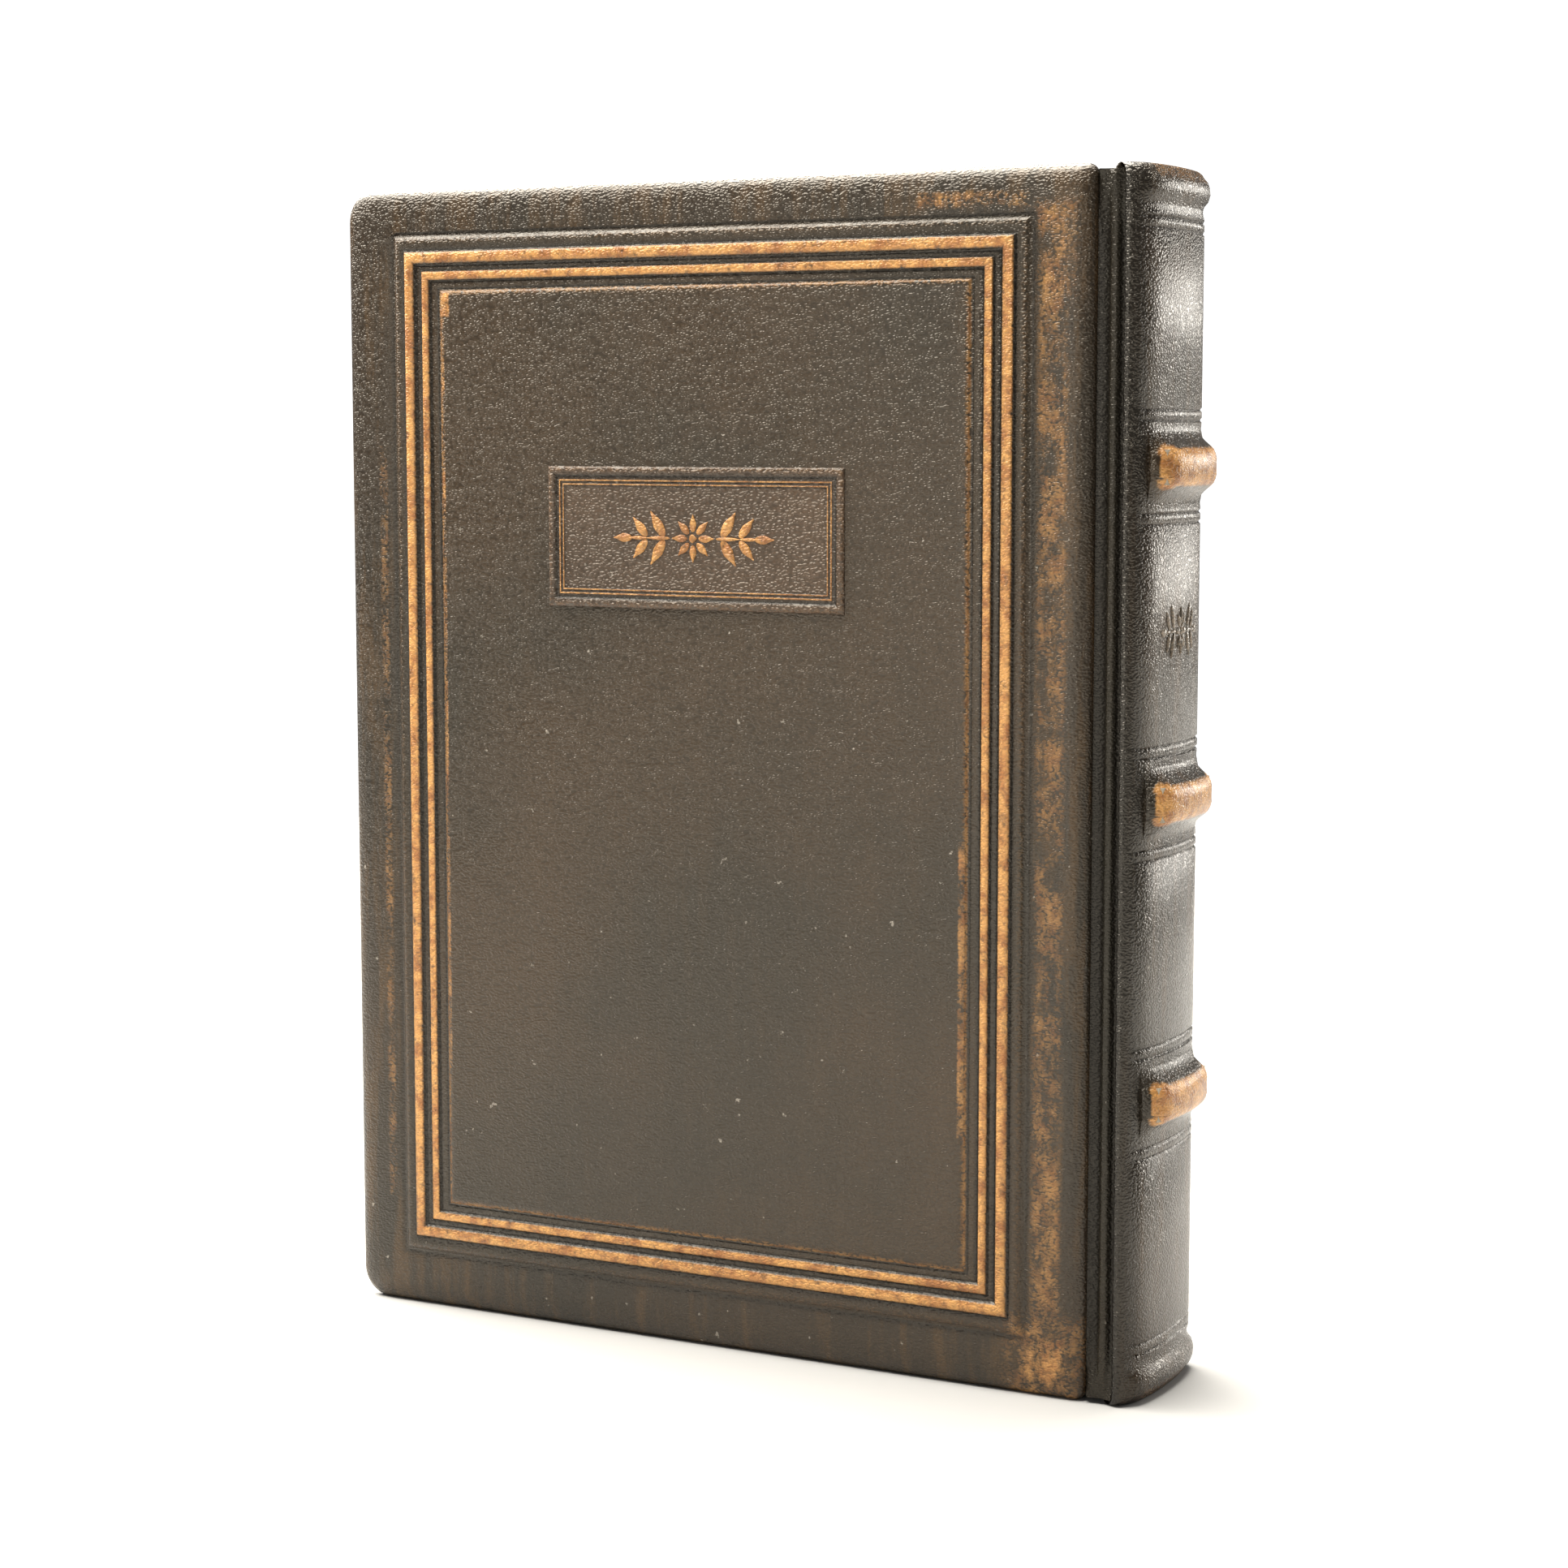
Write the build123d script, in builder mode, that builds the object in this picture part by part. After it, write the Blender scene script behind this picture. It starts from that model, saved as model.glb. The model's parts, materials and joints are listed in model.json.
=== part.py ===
"""Leather-bound prayer book, standing upright on its tail.

Frame: +Z up, the front cover faces -Y, the rounded spine is at +X and the fore edge at -X.
The origin is the middle of the book's box, on the surface that it stands on.
The book reads from right to left, so the front cover opens from -X about the joint at +X.
"""
import os
from math import asin, cos, degrees, radians, sin, sqrt

from build123d import *

os.makedirs("parts", exist_ok=True)

# ---- Driving dimensions, mm ----------------------------------------------------------------
cover_width = 127.0          # one cover, fore edge to joint edge
cover_height = 178.0
book_thickness = 30.0        # over both covers
shoulder_foot = 4.0          # joint edge of the cover to the foot of the spine's shoulder
shoulder_crest = 6.0         # joint edge of the cover to the corner of the shoulder
spine_depth = 8.5            # joint edge of the cover to the middle of the spine
spine_radius = 59.0          # outside of the spine leather
spine_inset = 0.3            # how far the shoulder's corner lies below the face of the cover
shoulder_sweep = 5.1         # width over which the shoulder sweeps round into the spine
shoulder_round = 0.8
band_rise = 3.0              # raised band above the spine leather

# Cover, from its outer face inwards
cover_leather = 0.8
panel_card = 0.5             # under the raised centre panel
field_card = 0.6             # under the raised field that carries the lines
board_thickness = 1.8
turn_in = 0.25               # pared leather folded in over the board
endpaper = 0.2
cover_corner = 4.5
cover_outer_edge = 2.2       # rounding of the padded outer edge
cover_inner_edge = 0.5
turn_in_width = 14.0

# Relief on the cover, centred on the cover and raised a little towards the head
relief_rise = 0.9
field_width = 108.2
field_height = 161.8
outer_line_width = 103.4
outer_line_height = 156.6
outer_line = 1.9
inner_line_width = 97.0
inner_line_height = 150.6
inner_line = 1.4
line_rise = 0.4
panel_width = 90.2
panel_height = 144.6
relief_bevel = 0.35
label_width = 50.8
label_height = 21.5
label_above_centre = 34.7
label_onlay = 0.6
label_sink = 0.3             # how deep the label is let into the panel's leather

# Text block
square = 3.0                 # how far the covers stand past the leaves
signature_count = 10
leaf_group_count = 3
leaf_group_thickness = 0.45
leaf_gap = 0.05
endpaper_gap = 0.1           # between the pastedown and the flyleaf
leaf_hinge_offset = 2.85     # joint edge of the cover to the line on which the leaves turn

# Spine
spine_leather_thickness = 1.0
spine_card_thickness = 0.8
hollow_tube_wall = 0.2
hollow_gap = 0.95
tube_edge = 1.0              # solid fold at each side of the hollow tube
card_gap = 0.3               # spine card to the leather turned down at the shoulder
mull_thickness = 0.25
mull_flap_width = 24.0
mull_margin = 8.0            # mull shorter than the leaves at head and tail
band_core_width = 5.0
band_foot_width = 8.0
band_end_inset = 3.7         # shoulder's corner to the foot of a band's end
band_crown_inset = 4.7       # shoulder's corner to the crown of a band's end
band_core_inset = 5.6        # shoulder's corner to the end of a band's core
cap_cord_radius = 0.8
headband_radius = 1.1
joint_leather_thickness = 0.9
joint_ridge_offset = 2.8     # joint edge of the cover to the middle of the ridge
joint_ridge_width = 1.3
joint_ridge_rise = 0.5
joint_clearance = 0.05
cover_hinge_inset = 0.7      # line on which a cover turns, below the panel's face

# ---- Worked-out places ---------------------------------------------------------------------
half_thickness = book_thickness / 2
overall_width = cover_width + spine_depth + band_rise
fore_edge_x = -overall_width / 2
joint_edge_x = fore_edge_x + cover_width
shoulder_foot_x = joint_edge_x + shoulder_foot
shoulder_crest_x = joint_edge_x + shoulder_crest
shoulder_top = half_thickness - spine_inset
spine_apex_x = joint_edge_x + spine_depth
spine_centre_x = spine_apex_x - spine_radius
cover_middle_x = fore_edge_x + cover_width / 2
middle_z = cover_height / 2

# Distances of the cover's layers from the middle plane of the book
panel_card_outer = half_thickness - cover_leather
field_card_outer = panel_card_outer - panel_card
board_outer = field_card_outer - field_card
board_inner = board_outer - board_thickness
border_face = board_outer + cover_leather
field_face = field_card_outer + cover_leather
turn_in_inner = board_inner - turn_in
pastedown_inner = turn_in_inner - endpaper
flyleaf_outer = pastedown_inner - endpaper_gap
flyleaf_inner = flyleaf_outer - endpaper
block_half = flyleaf_inner - leaf_gap - leaf_group_count * (leaf_group_thickness + leaf_gap)
signature_thickness = 2 * block_half / signature_count
window_width = cover_width - turn_in_width - endpaper
shoulder_low = board_inner   # the shoulder's leather reaches down to the joint leather

leaf_height = cover_height - 2 * square
spine_card_outer = spine_radius - spine_leather_thickness
tube_outer = spine_card_outer - spine_card_thickness
tube_inner = tube_outer - 2 * hollow_tube_wall - hollow_gap
fold_radius = tube_inner - mull_thickness
leaf_hinge_x = joint_edge_x + leaf_hinge_offset
leaf_fore_x = fore_edge_x + square
band_heights = [cover_height * share for share in (0.249, 0.493, 0.762)]

cover_plane = Plane(origin=(cover_middle_x, 0, middle_z), x_dir=(1, 0, 0), z_dir=(0, -1, 0))
relief_plane = Plane(
    origin=(cover_middle_x, 0, middle_z + relief_rise), x_dir=(1, 0, 0), z_dir=(0, -1, 0)
)
spine_axis = Axis((spine_centre_x, 0, 0), (0, 0, 1))


def fold_x(distance):
    """Return the x of a signature's fold at a distance from the middle plane."""
    return spine_centre_x + sqrt(fold_radius ** 2 - distance ** 2)


def arc_half_angle(radius, half_width):
    """Return half the angle that a spine arc of this radius covers, in degrees."""
    return degrees(asin(half_width / radius))


def spine_point(radius, distance):
    """Return the point at a radius about the spine's axis, at a distance towards the front."""
    return (spine_centre_x + sqrt(radius ** 2 - distance ** 2), -distance)


def save(piece, name):
    """Label a finished piece and write its STEP file."""
    piece.part.label = name
    export_step(piece.part, f"parts/{name}.step")


# ---- Front cover ---------------------------------------------------------------------------
with BuildPart() as front_board:
    with BuildSketch(cover_plane.offset(board_inner)):
        RectangleRounded(
            cover_width - 2 * cover_leather,
            cover_height - 2 * cover_leather,
            cover_corner - cover_leather,
        )
    extrude(amount=board_thickness)
save(front_board, "front_board")

with BuildPart() as front_field_card:
    with BuildSketch(relief_plane.offset(board_outer)):
        Rectangle(field_width - 2 * cover_leather, field_height - 2 * cover_leather)
    extrude(amount=field_card)
save(front_field_card, "front_field_card")

with BuildPart() as front_panel_card:
    with BuildSketch(relief_plane.offset(field_card_outer)):
        Rectangle(panel_width - 2 * cover_leather, panel_height - 2 * cover_leather)
    extrude(amount=panel_card)
save(front_panel_card, "front_panel_card")


def rim_edges(solid, distance, width, height):
    """Return the edges of a raised plate's face, at a distance from the middle plane."""
    at_face = solid.edges().filter_by_position(Axis.Y, -distance - 0.01, -distance + 0.01)
    rim = []
    for edge in at_face:
        across = abs(edge.center().X - cover_middle_x)
        along = abs(edge.center().Z - middle_z - relief_rise)
        if across < width / 2 + 0.01 and along < height / 2 + 0.01:
            rim.append(edge)
    return rim


def cover_skin():
    """Build the leather of one cover, in the front cover's place, around its board and cards."""
    with BuildPart() as skin:
        with BuildSketch(cover_plane.offset(turn_in_inner)):
            RectangleRounded(cover_width, cover_height, cover_corner)
        extrude(amount=border_face - turn_in_inner)
        fillet(skin.faces().sort_by(Axis.Y)[0].edges(), radius=cover_outer_edge)
        fillet(skin.faces().sort_by(Axis.Y)[-1].edges(), radius=cover_inner_edge)
        # The raised field, then the raised centre panel on it
        with BuildSketch(relief_plane.offset(border_face)):
            Rectangle(field_width, field_height)
        extrude(amount=field_face - border_face)
        chamfer(rim_edges(skin, field_face, field_width, field_height), length=relief_bevel)
        with BuildSketch(relief_plane.offset(field_face)):
            Rectangle(panel_width, panel_height)
        extrude(amount=half_thickness - field_face)
        chamfer(rim_edges(skin, half_thickness, panel_width, panel_height), length=relief_bevel)
        # The two raised lines between the field's edge and the panel
        lines = (
            (outer_line_width, outer_line_height, outer_line),
            (inner_line_width, inner_line_height, inner_line),
        )
        for line_width, line_height, breadth in lines:
            with BuildSketch(relief_plane.offset(field_face)):
                Rectangle(line_width, line_height)
                Rectangle(
                    line_width - 2 * breadth,
                    line_height - 2 * breadth,
                    mode=Mode.SUBTRACT,
                )
            extrude(amount=line_rise)
        # Room for the board and cards, and the window that the turned-in edges leave inside
        with BuildSketch(cover_plane.offset(turn_in_inner)):
            with Locations(((turn_in_width - endpaper) / 2, 0)):
                Rectangle(window_width, cover_height - 2 * turn_in_width)
        extrude(amount=turn_in, mode=Mode.SUBTRACT)
        add(front_board.part, mode=Mode.SUBTRACT)
        add(front_field_card.part, mode=Mode.SUBTRACT)
        add(front_panel_card.part, mode=Mode.SUBTRACT)
    return skin


plain_skin = cover_skin()
with BuildPart() as front_label:
    with BuildSketch(relief_plane.offset(half_thickness - label_sink)):
        with Locations((0, label_above_centre)):
            Rectangle(label_width, label_height)
    extrude(amount=label_onlay)
    chamfer(front_label.faces().sort_by(Axis.Y)[0].edges(), length=label_onlay - label_sink)
save(front_label, "front_label")

with BuildPart() as front_leather:
    add(plain_skin.part)
    add(front_label.part, mode=Mode.SUBTRACT)
save(front_leather, "front_cover_leather")

# The pastedown lies on the turn-ins and is pressed down onto the board between them
with BuildPart() as front_mull_flap:
    with BuildSketch(cover_plane.offset(turn_in_inner)):
        with Locations((cover_width / 2 - endpaper - mull_flap_width / 2, 0)):
            Rectangle(mull_flap_width, cover_height - 2 * turn_in_width - 2 * endpaper)
    extrude(amount=turn_in)
save(front_mull_flap, "front_mull_flap")

with BuildPart() as front_pastedown:
    with BuildSketch(cover_plane.offset(pastedown_inner)):
        with Locations((square / 2, 0)):
            Rectangle(cover_width - square - 2 * cover_inner_edge, leaf_height)
    extrude(amount=endpaper)
    with BuildSketch(cover_plane.offset(turn_in_inner)):
        with Locations(((turn_in_width - endpaper) / 2, 0)):
            Rectangle(window_width, cover_height - 2 * turn_in_width)
    extrude(amount=turn_in)
    add(front_mull_flap.part, mode=Mode.SUBTRACT)
save(front_pastedown, "front_pastedown")

# ---- Back cover: the same construction with no label, on the other side --------------------
back_cover_pieces = [
    (front_board, "back_board"),
    (front_field_card, "back_field_card"),
    (front_panel_card, "back_panel_card"),
    (plain_skin, "back_cover_leather"),
    (front_mull_flap, "back_mull_flap"),
    (front_pastedown, "back_pastedown"),
]
for shape, name in back_cover_pieces:
    with BuildPart() as back_piece:
        mirror(shape.part, about=Plane.XZ)
    save(back_piece, name)

# ---- Text block ----------------------------------------------------------------------------
leaf_width = fold_x(block_half) - leaf_fore_x
for number in range(signature_count):
    outer_face = -block_half + number * signature_thickness
    signature_middle = outer_face + signature_thickness / 2
    fold_end = fold_x(abs(signature_middle) + signature_thickness / 2)
    with BuildPart() as signature:
        with BuildSketch(Plane.XY.offset(square)):
            with Locations((fold_end - leaf_width / 2, signature_middle)):
                Rectangle(leaf_width, signature_thickness)
        extrude(amount=leaf_height)
        fold_edges = signature.edges().filter_by(Axis.Z).group_by(Axis.X)[-1]
        fillet(fold_edges, radius=signature_thickness * 0.4)
    save(signature, f"signature_{number + 1:02d}")

for number in range(leaf_group_count):
    group_outer = block_half + (leaf_group_count - number) * (leaf_group_thickness + leaf_gap)
    with BuildPart() as front_leaves:
        with BuildSketch(Plane.XY.offset(square)):
            with Locations(
                (
                    (leaf_fore_x + leaf_hinge_x) / 2,
                    -group_outer + leaf_group_thickness / 2,
                )
            ):
                Rectangle(leaf_hinge_x - leaf_fore_x, leaf_group_thickness)
        extrude(amount=leaf_height)
    save(front_leaves, f"front_leaves_{number + 1}")
    with BuildPart() as back_leaves:
        mirror(front_leaves.part, about=Plane.XZ)
    save(back_leaves, f"back_leaves_{number + 1}")

with BuildPart() as front_flyleaf:
    with BuildSketch(Plane.XY.offset(square)):
        with Locations(((leaf_fore_x + leaf_hinge_x) / 2, -(flyleaf_outer + flyleaf_inner) / 2)):
            Rectangle(leaf_hinge_x - leaf_fore_x, endpaper)
    extrude(amount=leaf_height)
save(front_flyleaf, "front_flyleaf")

with BuildPart() as back_flyleaf:
    mirror(front_flyleaf.part, about=Plane.XZ)
save(back_flyleaf, "back_flyleaf")

# The glued inner margin of the endpaper and first leaves, which stays with the block
guard_start = leaf_hinge_x + leaf_gap
guard_end = fold_x(block_half) - leaf_gap
with BuildPart() as front_guard:
    with BuildSketch(Plane.XY.offset(square)):
        with Locations(((guard_start + guard_end) / 2, -(block_half + flyleaf_outer) / 2)):
            Rectangle(guard_end - guard_start, flyleaf_outer - block_half)
    extrude(amount=leaf_height)
save(front_guard, "front_endpaper_guard")

with BuildPart() as back_guard:
    mirror(front_guard.part, about=Plane.XZ)
save(back_guard, "back_endpaper_guard")


# ---- Spine ---------------------------------------------------------------------------------
def spine_start_plane(half_angle):
    """Return the plane through the spine's axis where an arc of this half angle starts."""
    turn = radians(half_angle)
    return Plane(
        origin=(spine_centre_x, 0, 0),
        x_dir=(cos(turn), -sin(turn), 0),
        z_dir=(-sin(turn), -cos(turn), 0),
    )


def spine_shell(inner_radius, outer_radius, low_z, high_z, half_width):
    """Build a curved sheet that follows the spine between two radii and two heights."""
    half_angle = arc_half_angle(inner_radius, half_width)
    with BuildPart() as shell:
        with BuildSketch(spine_start_plane(half_angle)):
            with Locations(((inner_radius + outer_radius) / 2, (low_z + high_z) / 2)):
                Rectangle(outer_radius - inner_radius, high_z - low_z)
        revolve(axis=spine_axis, revolution_arc=2 * half_angle)
    return shell


mull = spine_shell(
    fold_radius,
    tube_inner,
    square + mull_margin,
    cover_height - square - mull_margin,
    block_half,
)
save(mull, "spine_mull")

hollow_tube = spine_shell(
    tube_inner, tube_outer, 2 * square, cover_height - 2 * square, block_half
)
tube_hollow = spine_shell(
    tube_inner + hollow_tube_wall,
    tube_outer - hollow_tube_wall,
    0,
    cover_height,
    block_half - tube_edge,
)
with BuildPart() as hollow_back_tube:
    add(hollow_tube.part)
    add(tube_hollow.part, mode=Mode.SUBTRACT)
save(hollow_back_tube, "hollow_back_tube")

spine_card = spine_shell(
    tube_outer,
    spine_card_outer,
    square,
    cover_height - square,
    shoulder_low - card_gap,
)
save(spine_card, "spine_card")

# Band cores lie on the card, under the leather, and a band's ends slope down to the spine
band_angle = arc_half_angle(spine_card_outer, shoulder_top)
band_names = ["tail_band_core", "middle_band_core", "head_band_core"]
band_cores = []
bands = []
for height, name in zip(band_heights, band_names):
    core_end = shoulder_top - band_core_inset
    with BuildPart() as band_core:
        with BuildSketch(spine_start_plane(arc_half_angle(spine_card_outer, core_end))):
            with Locations((spine_card_outer + band_rise / 2, height)):
                Rectangle(band_rise, band_core_width)
        revolve(axis=spine_axis, revolution_arc=2 * arc_half_angle(spine_card_outer, core_end))
    save(band_core, name)
    band_cores.append(band_core)
    foot_end = shoulder_top - band_end_inset
    crown_end = shoulder_top - band_crown_inset
    foot_x = spine_point(spine_card_outer, foot_end)[0]
    crown_x = spine_point(spine_radius + band_rise, crown_end)[0]
    with BuildPart() as band:
        with BuildSketch(spine_start_plane(band_angle)):
            with BuildLine():
                Polyline(
                    (spine_card_outer, height - band_foot_width / 2),
                    (spine_radius, height - band_foot_width / 2),
                    (spine_radius + band_rise, height - band_core_width / 2),
                    (spine_radius + band_rise, height + band_core_width / 2),
                    (spine_radius, height + band_foot_width / 2),
                    (spine_card_outer, height + band_foot_width / 2),
                    close=True,
                )
            make_face()
        revolve(axis=spine_axis, revolution_arc=2 * band_angle)
        with BuildSketch(Plane.XY):
            with BuildLine():
                Polyline(
                    (foot_x - spine_leather_thickness, -foot_end),
                    (foot_x, -foot_end),
                    (crown_x, -crown_end),
                    (crown_x + band_rise, -crown_end),
                    (crown_x + band_rise, crown_end),
                    (crown_x, crown_end),
                    (foot_x, foot_end),
                    (foot_x - spine_leather_thickness, foot_end),
                    close=True,
                )
            make_face()
        extrude(amount=cover_height, mode=Mode.INTERSECT)
    bands.append(band)

# Half of the spine leather's section: up the shoulder, round to the spine, and back inside
sweep_start = shoulder_top - shoulder_sweep
foot_point = (shoulder_foot_x, -shoulder_low)
crest_point = (shoulder_crest_x, -shoulder_top)
sweep_point = spine_point(spine_radius, sweep_start)
sweep_angle = asin(sweep_start / spine_radius)
half_sweep = spine_point(spine_radius, spine_radius * sin(sweep_angle / 2))
inner_end = spine_point(spine_card_outer, shoulder_low)
inner_angle = asin(shoulder_low / spine_card_outer)
inner_middle = spine_point(spine_card_outer, spine_card_outer * sin(inner_angle / 2))

with BuildPart() as spine_leather:
    with BuildSketch(Plane.XY) as section:
        with BuildLine():
            Line(foot_point, crest_point)
            TangentArc(
                sweep_point,
                crest_point,
                tangent=(-sin(sweep_angle), -cos(sweep_angle)),
            )
            ThreePointArc(sweep_point, half_sweep, (spine_apex_x, 0))
            Line((spine_apex_x, 0), (spine_apex_x - spine_leather_thickness, 0))
            ThreePointArc(
                (spine_apex_x - spine_leather_thickness, 0), inner_middle, inner_end
            )
            Line(inner_end, foot_point)
        make_face()
        fillet(section.vertices().sort_by(Axis.Y)[0], radius=shoulder_round)
    extrude(amount=cover_height)
    mirror(about=Plane.XZ)
    for band in bands:
        add(band.part)
    for band_core in band_cores:
        add(band_core.part, mode=Mode.SUBTRACT)
save(spine_leather, "spine_leather")

# Cords rolled into the head and tail caps, and the head and tail bands on the block
cap_cord_path = tube_outer
cap_cord_half_angle = arc_half_angle(cap_cord_path, block_half)
headband_path = fold_radius - headband_radius
headband_half_angle = arc_half_angle(headband_path, block_half - headband_radius)
rolls = [
    ("tail_cap_cord", cap_cord_path, square / 2, cap_cord_radius, cap_cord_half_angle),
    (
        "head_cap_cord",
        cap_cord_path,
        cover_height - square / 2,
        cap_cord_radius,
        cap_cord_half_angle,
    ),
    ("tailband", headband_path, square - headband_radius, headband_radius, headband_half_angle),
    (
        "headband",
        headband_path,
        cover_height - square + headband_radius,
        headband_radius,
        headband_half_angle,
    ),
]
for name, path_radius, height, roll_radius, half_angle in rolls:
    with BuildPart() as roll:
        with BuildSketch(spine_start_plane(half_angle)):
            with Locations((path_radius, height)):
                Circle(roll_radius)
        revolve(axis=spine_axis, revolution_arc=2 * half_angle)
    save(roll, name)

# ---- Joint leather, which bends as a cover opens --------------------------------------------
joint_start = joint_edge_x + joint_clearance
joint_end = shoulder_foot_x - joint_clearance
joint_inner = board_inner
with BuildPart() as front_joint:
    with BuildSketch(Plane.XY.offset(joint_clearance)):
        with Locations(
            (
                (joint_start + joint_end) / 2,
                -joint_inner - joint_leather_thickness / 2,
            )
        ):
            Rectangle(joint_end - joint_start, joint_leather_thickness)
        with Locations(
            (
                joint_edge_x + joint_ridge_offset,
                -joint_inner - joint_leather_thickness - joint_ridge_rise / 2,
            )
        ):
            Rectangle(joint_ridge_width, joint_ridge_rise)
    extrude(amount=cover_height - 2 * joint_clearance)
save(front_joint, "front_joint_leather")

with BuildPart() as back_joint:
    mirror(front_joint.part, about=Plane.XZ)
save(back_joint, "back_joint_leather")

cover_hinge_x = joint_edge_x + joint_ridge_offset
cover_hinge_distance = half_thickness - cover_hinge_inset
leaf_hinge_distance = flyleaf_outer + leaf_gap
print("width, joint edge x", round(overall_width, 4), round(joint_edge_x, 4))
print("cover hinge x, distance", round(cover_hinge_x, 4), round(cover_hinge_distance, 4))
print("leaf hinge x, distance", round(leaf_hinge_x, 4), round(leaf_hinge_distance, 4))
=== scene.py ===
"""Leather-bound prayer book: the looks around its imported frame, in metres, at the CAD's places."""
import json
import logging
import math
from dataclasses import dataclass, field
from enum import Enum
from typing import Callable, Optional, Sequence, Union

import bmesh
import bpy
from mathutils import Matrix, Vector

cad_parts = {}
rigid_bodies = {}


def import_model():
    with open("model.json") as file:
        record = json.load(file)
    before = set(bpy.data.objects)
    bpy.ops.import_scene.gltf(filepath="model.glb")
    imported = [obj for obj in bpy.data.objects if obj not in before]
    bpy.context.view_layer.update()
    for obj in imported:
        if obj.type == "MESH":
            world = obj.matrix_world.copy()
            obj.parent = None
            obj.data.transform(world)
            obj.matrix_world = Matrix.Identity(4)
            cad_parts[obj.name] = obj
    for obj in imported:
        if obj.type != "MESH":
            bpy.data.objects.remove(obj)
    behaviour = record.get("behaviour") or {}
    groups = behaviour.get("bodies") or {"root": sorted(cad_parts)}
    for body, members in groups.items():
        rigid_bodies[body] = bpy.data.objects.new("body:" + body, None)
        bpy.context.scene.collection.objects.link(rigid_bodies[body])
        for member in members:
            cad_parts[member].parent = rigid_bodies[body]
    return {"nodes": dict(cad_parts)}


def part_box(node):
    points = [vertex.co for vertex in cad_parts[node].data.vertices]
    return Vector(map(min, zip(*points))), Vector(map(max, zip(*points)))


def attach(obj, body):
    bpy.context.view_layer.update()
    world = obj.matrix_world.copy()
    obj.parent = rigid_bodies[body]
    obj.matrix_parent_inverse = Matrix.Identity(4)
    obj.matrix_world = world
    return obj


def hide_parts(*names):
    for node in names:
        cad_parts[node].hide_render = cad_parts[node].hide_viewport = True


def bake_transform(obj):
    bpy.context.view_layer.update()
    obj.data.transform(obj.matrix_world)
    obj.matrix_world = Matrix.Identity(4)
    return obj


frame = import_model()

logging.basicConfig(level=logging.INFO, format="%(message)s")
log = logging.getLogger("prayer_book")

MM = 0.001
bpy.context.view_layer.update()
COVER_LOW, COVER_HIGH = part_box("front_cover_leather")
COVER_X = (COVER_LOW.x + COVER_HIGH.x) / 2
COVER_Z = (COVER_LOW.z + COVER_HIGH.z) / 2
JOINT_X = COVER_HIGH.x
PANEL_FACE = -COVER_LOW.y
INNER_FACE = -COVER_HIGH.y
RELIEF_Z = COVER_Z + 0.9 * MM
BOOK_TOP = COVER_HIGH.z

Colour = tuple[float, float, float, float]
Socket = bpy.types.NodeSocket
Value = Union[Socket, float, Colour]


class Side(Enum):
    """The two covers, with the sign of the direction that each one faces along Y."""

    FRONT = -1
    BACK = 1

    @property
    def label(self) -> str:
        """Return the side's name as the CAD nodes use it."""
        return self.name.lower()


@dataclass(frozen=True)
class Ring:
    """One ring of a stamped relief: half sizes and depth in mm, and its wear: above zero how worn,
    below zero how much painted shade it gets.
    """

    half_width: float
    half_height: float
    rise: float
    wear: float = 0.0


# ---- Helpers for modelling -----------------------------------------------------------------
def deselect() -> None:
    """Leave edit mode's selection empty and no object selected."""
    for obj in bpy.context.view_layer.objects:
        obj.select_set(False)


def activate(obj: bpy.types.Object) -> None:
    """Select one object alone and make it active.

    Args:
        obj: The object that the next operators act on.
    """
    deselect()
    obj.select_set(True)
    bpy.context.view_layer.objects.active = obj


def pick(obj: bpy.types.Object, kind: str, test: Callable) -> int:
    """Select in edit mode the elements that pass a test, and nothing else.

    Args:
        obj: The object in edit mode.
        kind: "verts", "edges" or "faces".
        test: Takes a bmesh element and says whether it is selected.

    Returns:
        The number of selected elements.
    """
    mode = {"verts": "VERT", "edges": "EDGE", "faces": "FACE"}[kind]
    bpy.ops.mesh.select_mode(type=mode)
    bpy.ops.mesh.select_all(action="DESELECT")
    mesh = bmesh.from_edit_mesh(obj.data)
    found = [item for item in getattr(mesh, kind) if test(item)]
    for item in found:
        item.select_set(True)
    mesh.select_flush_mode()
    bmesh.update_edit_mesh(obj.data)
    return len(found)


def upright_plane(
    name: str, centre: Vector, width: float, height: float, side: Side
) -> bpy.types.Object:
    """Add a plane that stands in XZ and faces away from the book, in edit mode.

    Args:
        name: The object's name.
        centre: The plane's middle.
        width: Its size along X.
        height: Its size along Z.
        side: The side that it faces.

    Returns:
        The plane, with its place in its mesh.
    """
    deselect()
    turn = math.pi / 2 if side is Side.FRONT else -math.pi / 2
    bpy.ops.mesh.primitive_plane_add(size=1, location=centre, rotation=(turn, 0, 0))
    plane = bpy.context.object
    plane.name = name
    plane.scale = (width, height, 1)
    bpy.ops.object.transform_apply(location=True, rotation=True, scale=True)
    bpy.ops.object.mode_set(mode="EDIT")
    bpy.ops.mesh.select_all(action="SELECT")
    return plane


def upright_row(name: str, points: Sequence[tuple]) -> bpy.types.Object:
    """Add a row of joined points that rises along Z, in edit mode and all selected.

    Args:
        name: The object's name.
        points: The row's points from the lowest up.

    Returns:
        The row.
    """
    deselect()
    bpy.ops.mesh.primitive_plane_add(size=1, location=(0, 0, 0))
    row = bpy.context.object
    row.name = name
    bpy.ops.object.mode_set(mode="EDIT")
    pick(row, "verts", lambda vertex: vertex.co.x > 0)
    bpy.ops.mesh.delete(type="VERT")
    bpy.ops.mesh.select_all(action="SELECT")
    bpy.ops.mesh.subdivide(number_cuts=len(points) - 2)
    mesh = bmesh.from_edit_mesh(row.data)
    for vertex, point in zip(sorted(mesh.verts, key=lambda vertex: vertex.co.y), points):
        vertex.co = point
    bmesh.update_edit_mesh(row.data)
    bpy.ops.mesh.select_all(action="SELECT")
    return row


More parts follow.
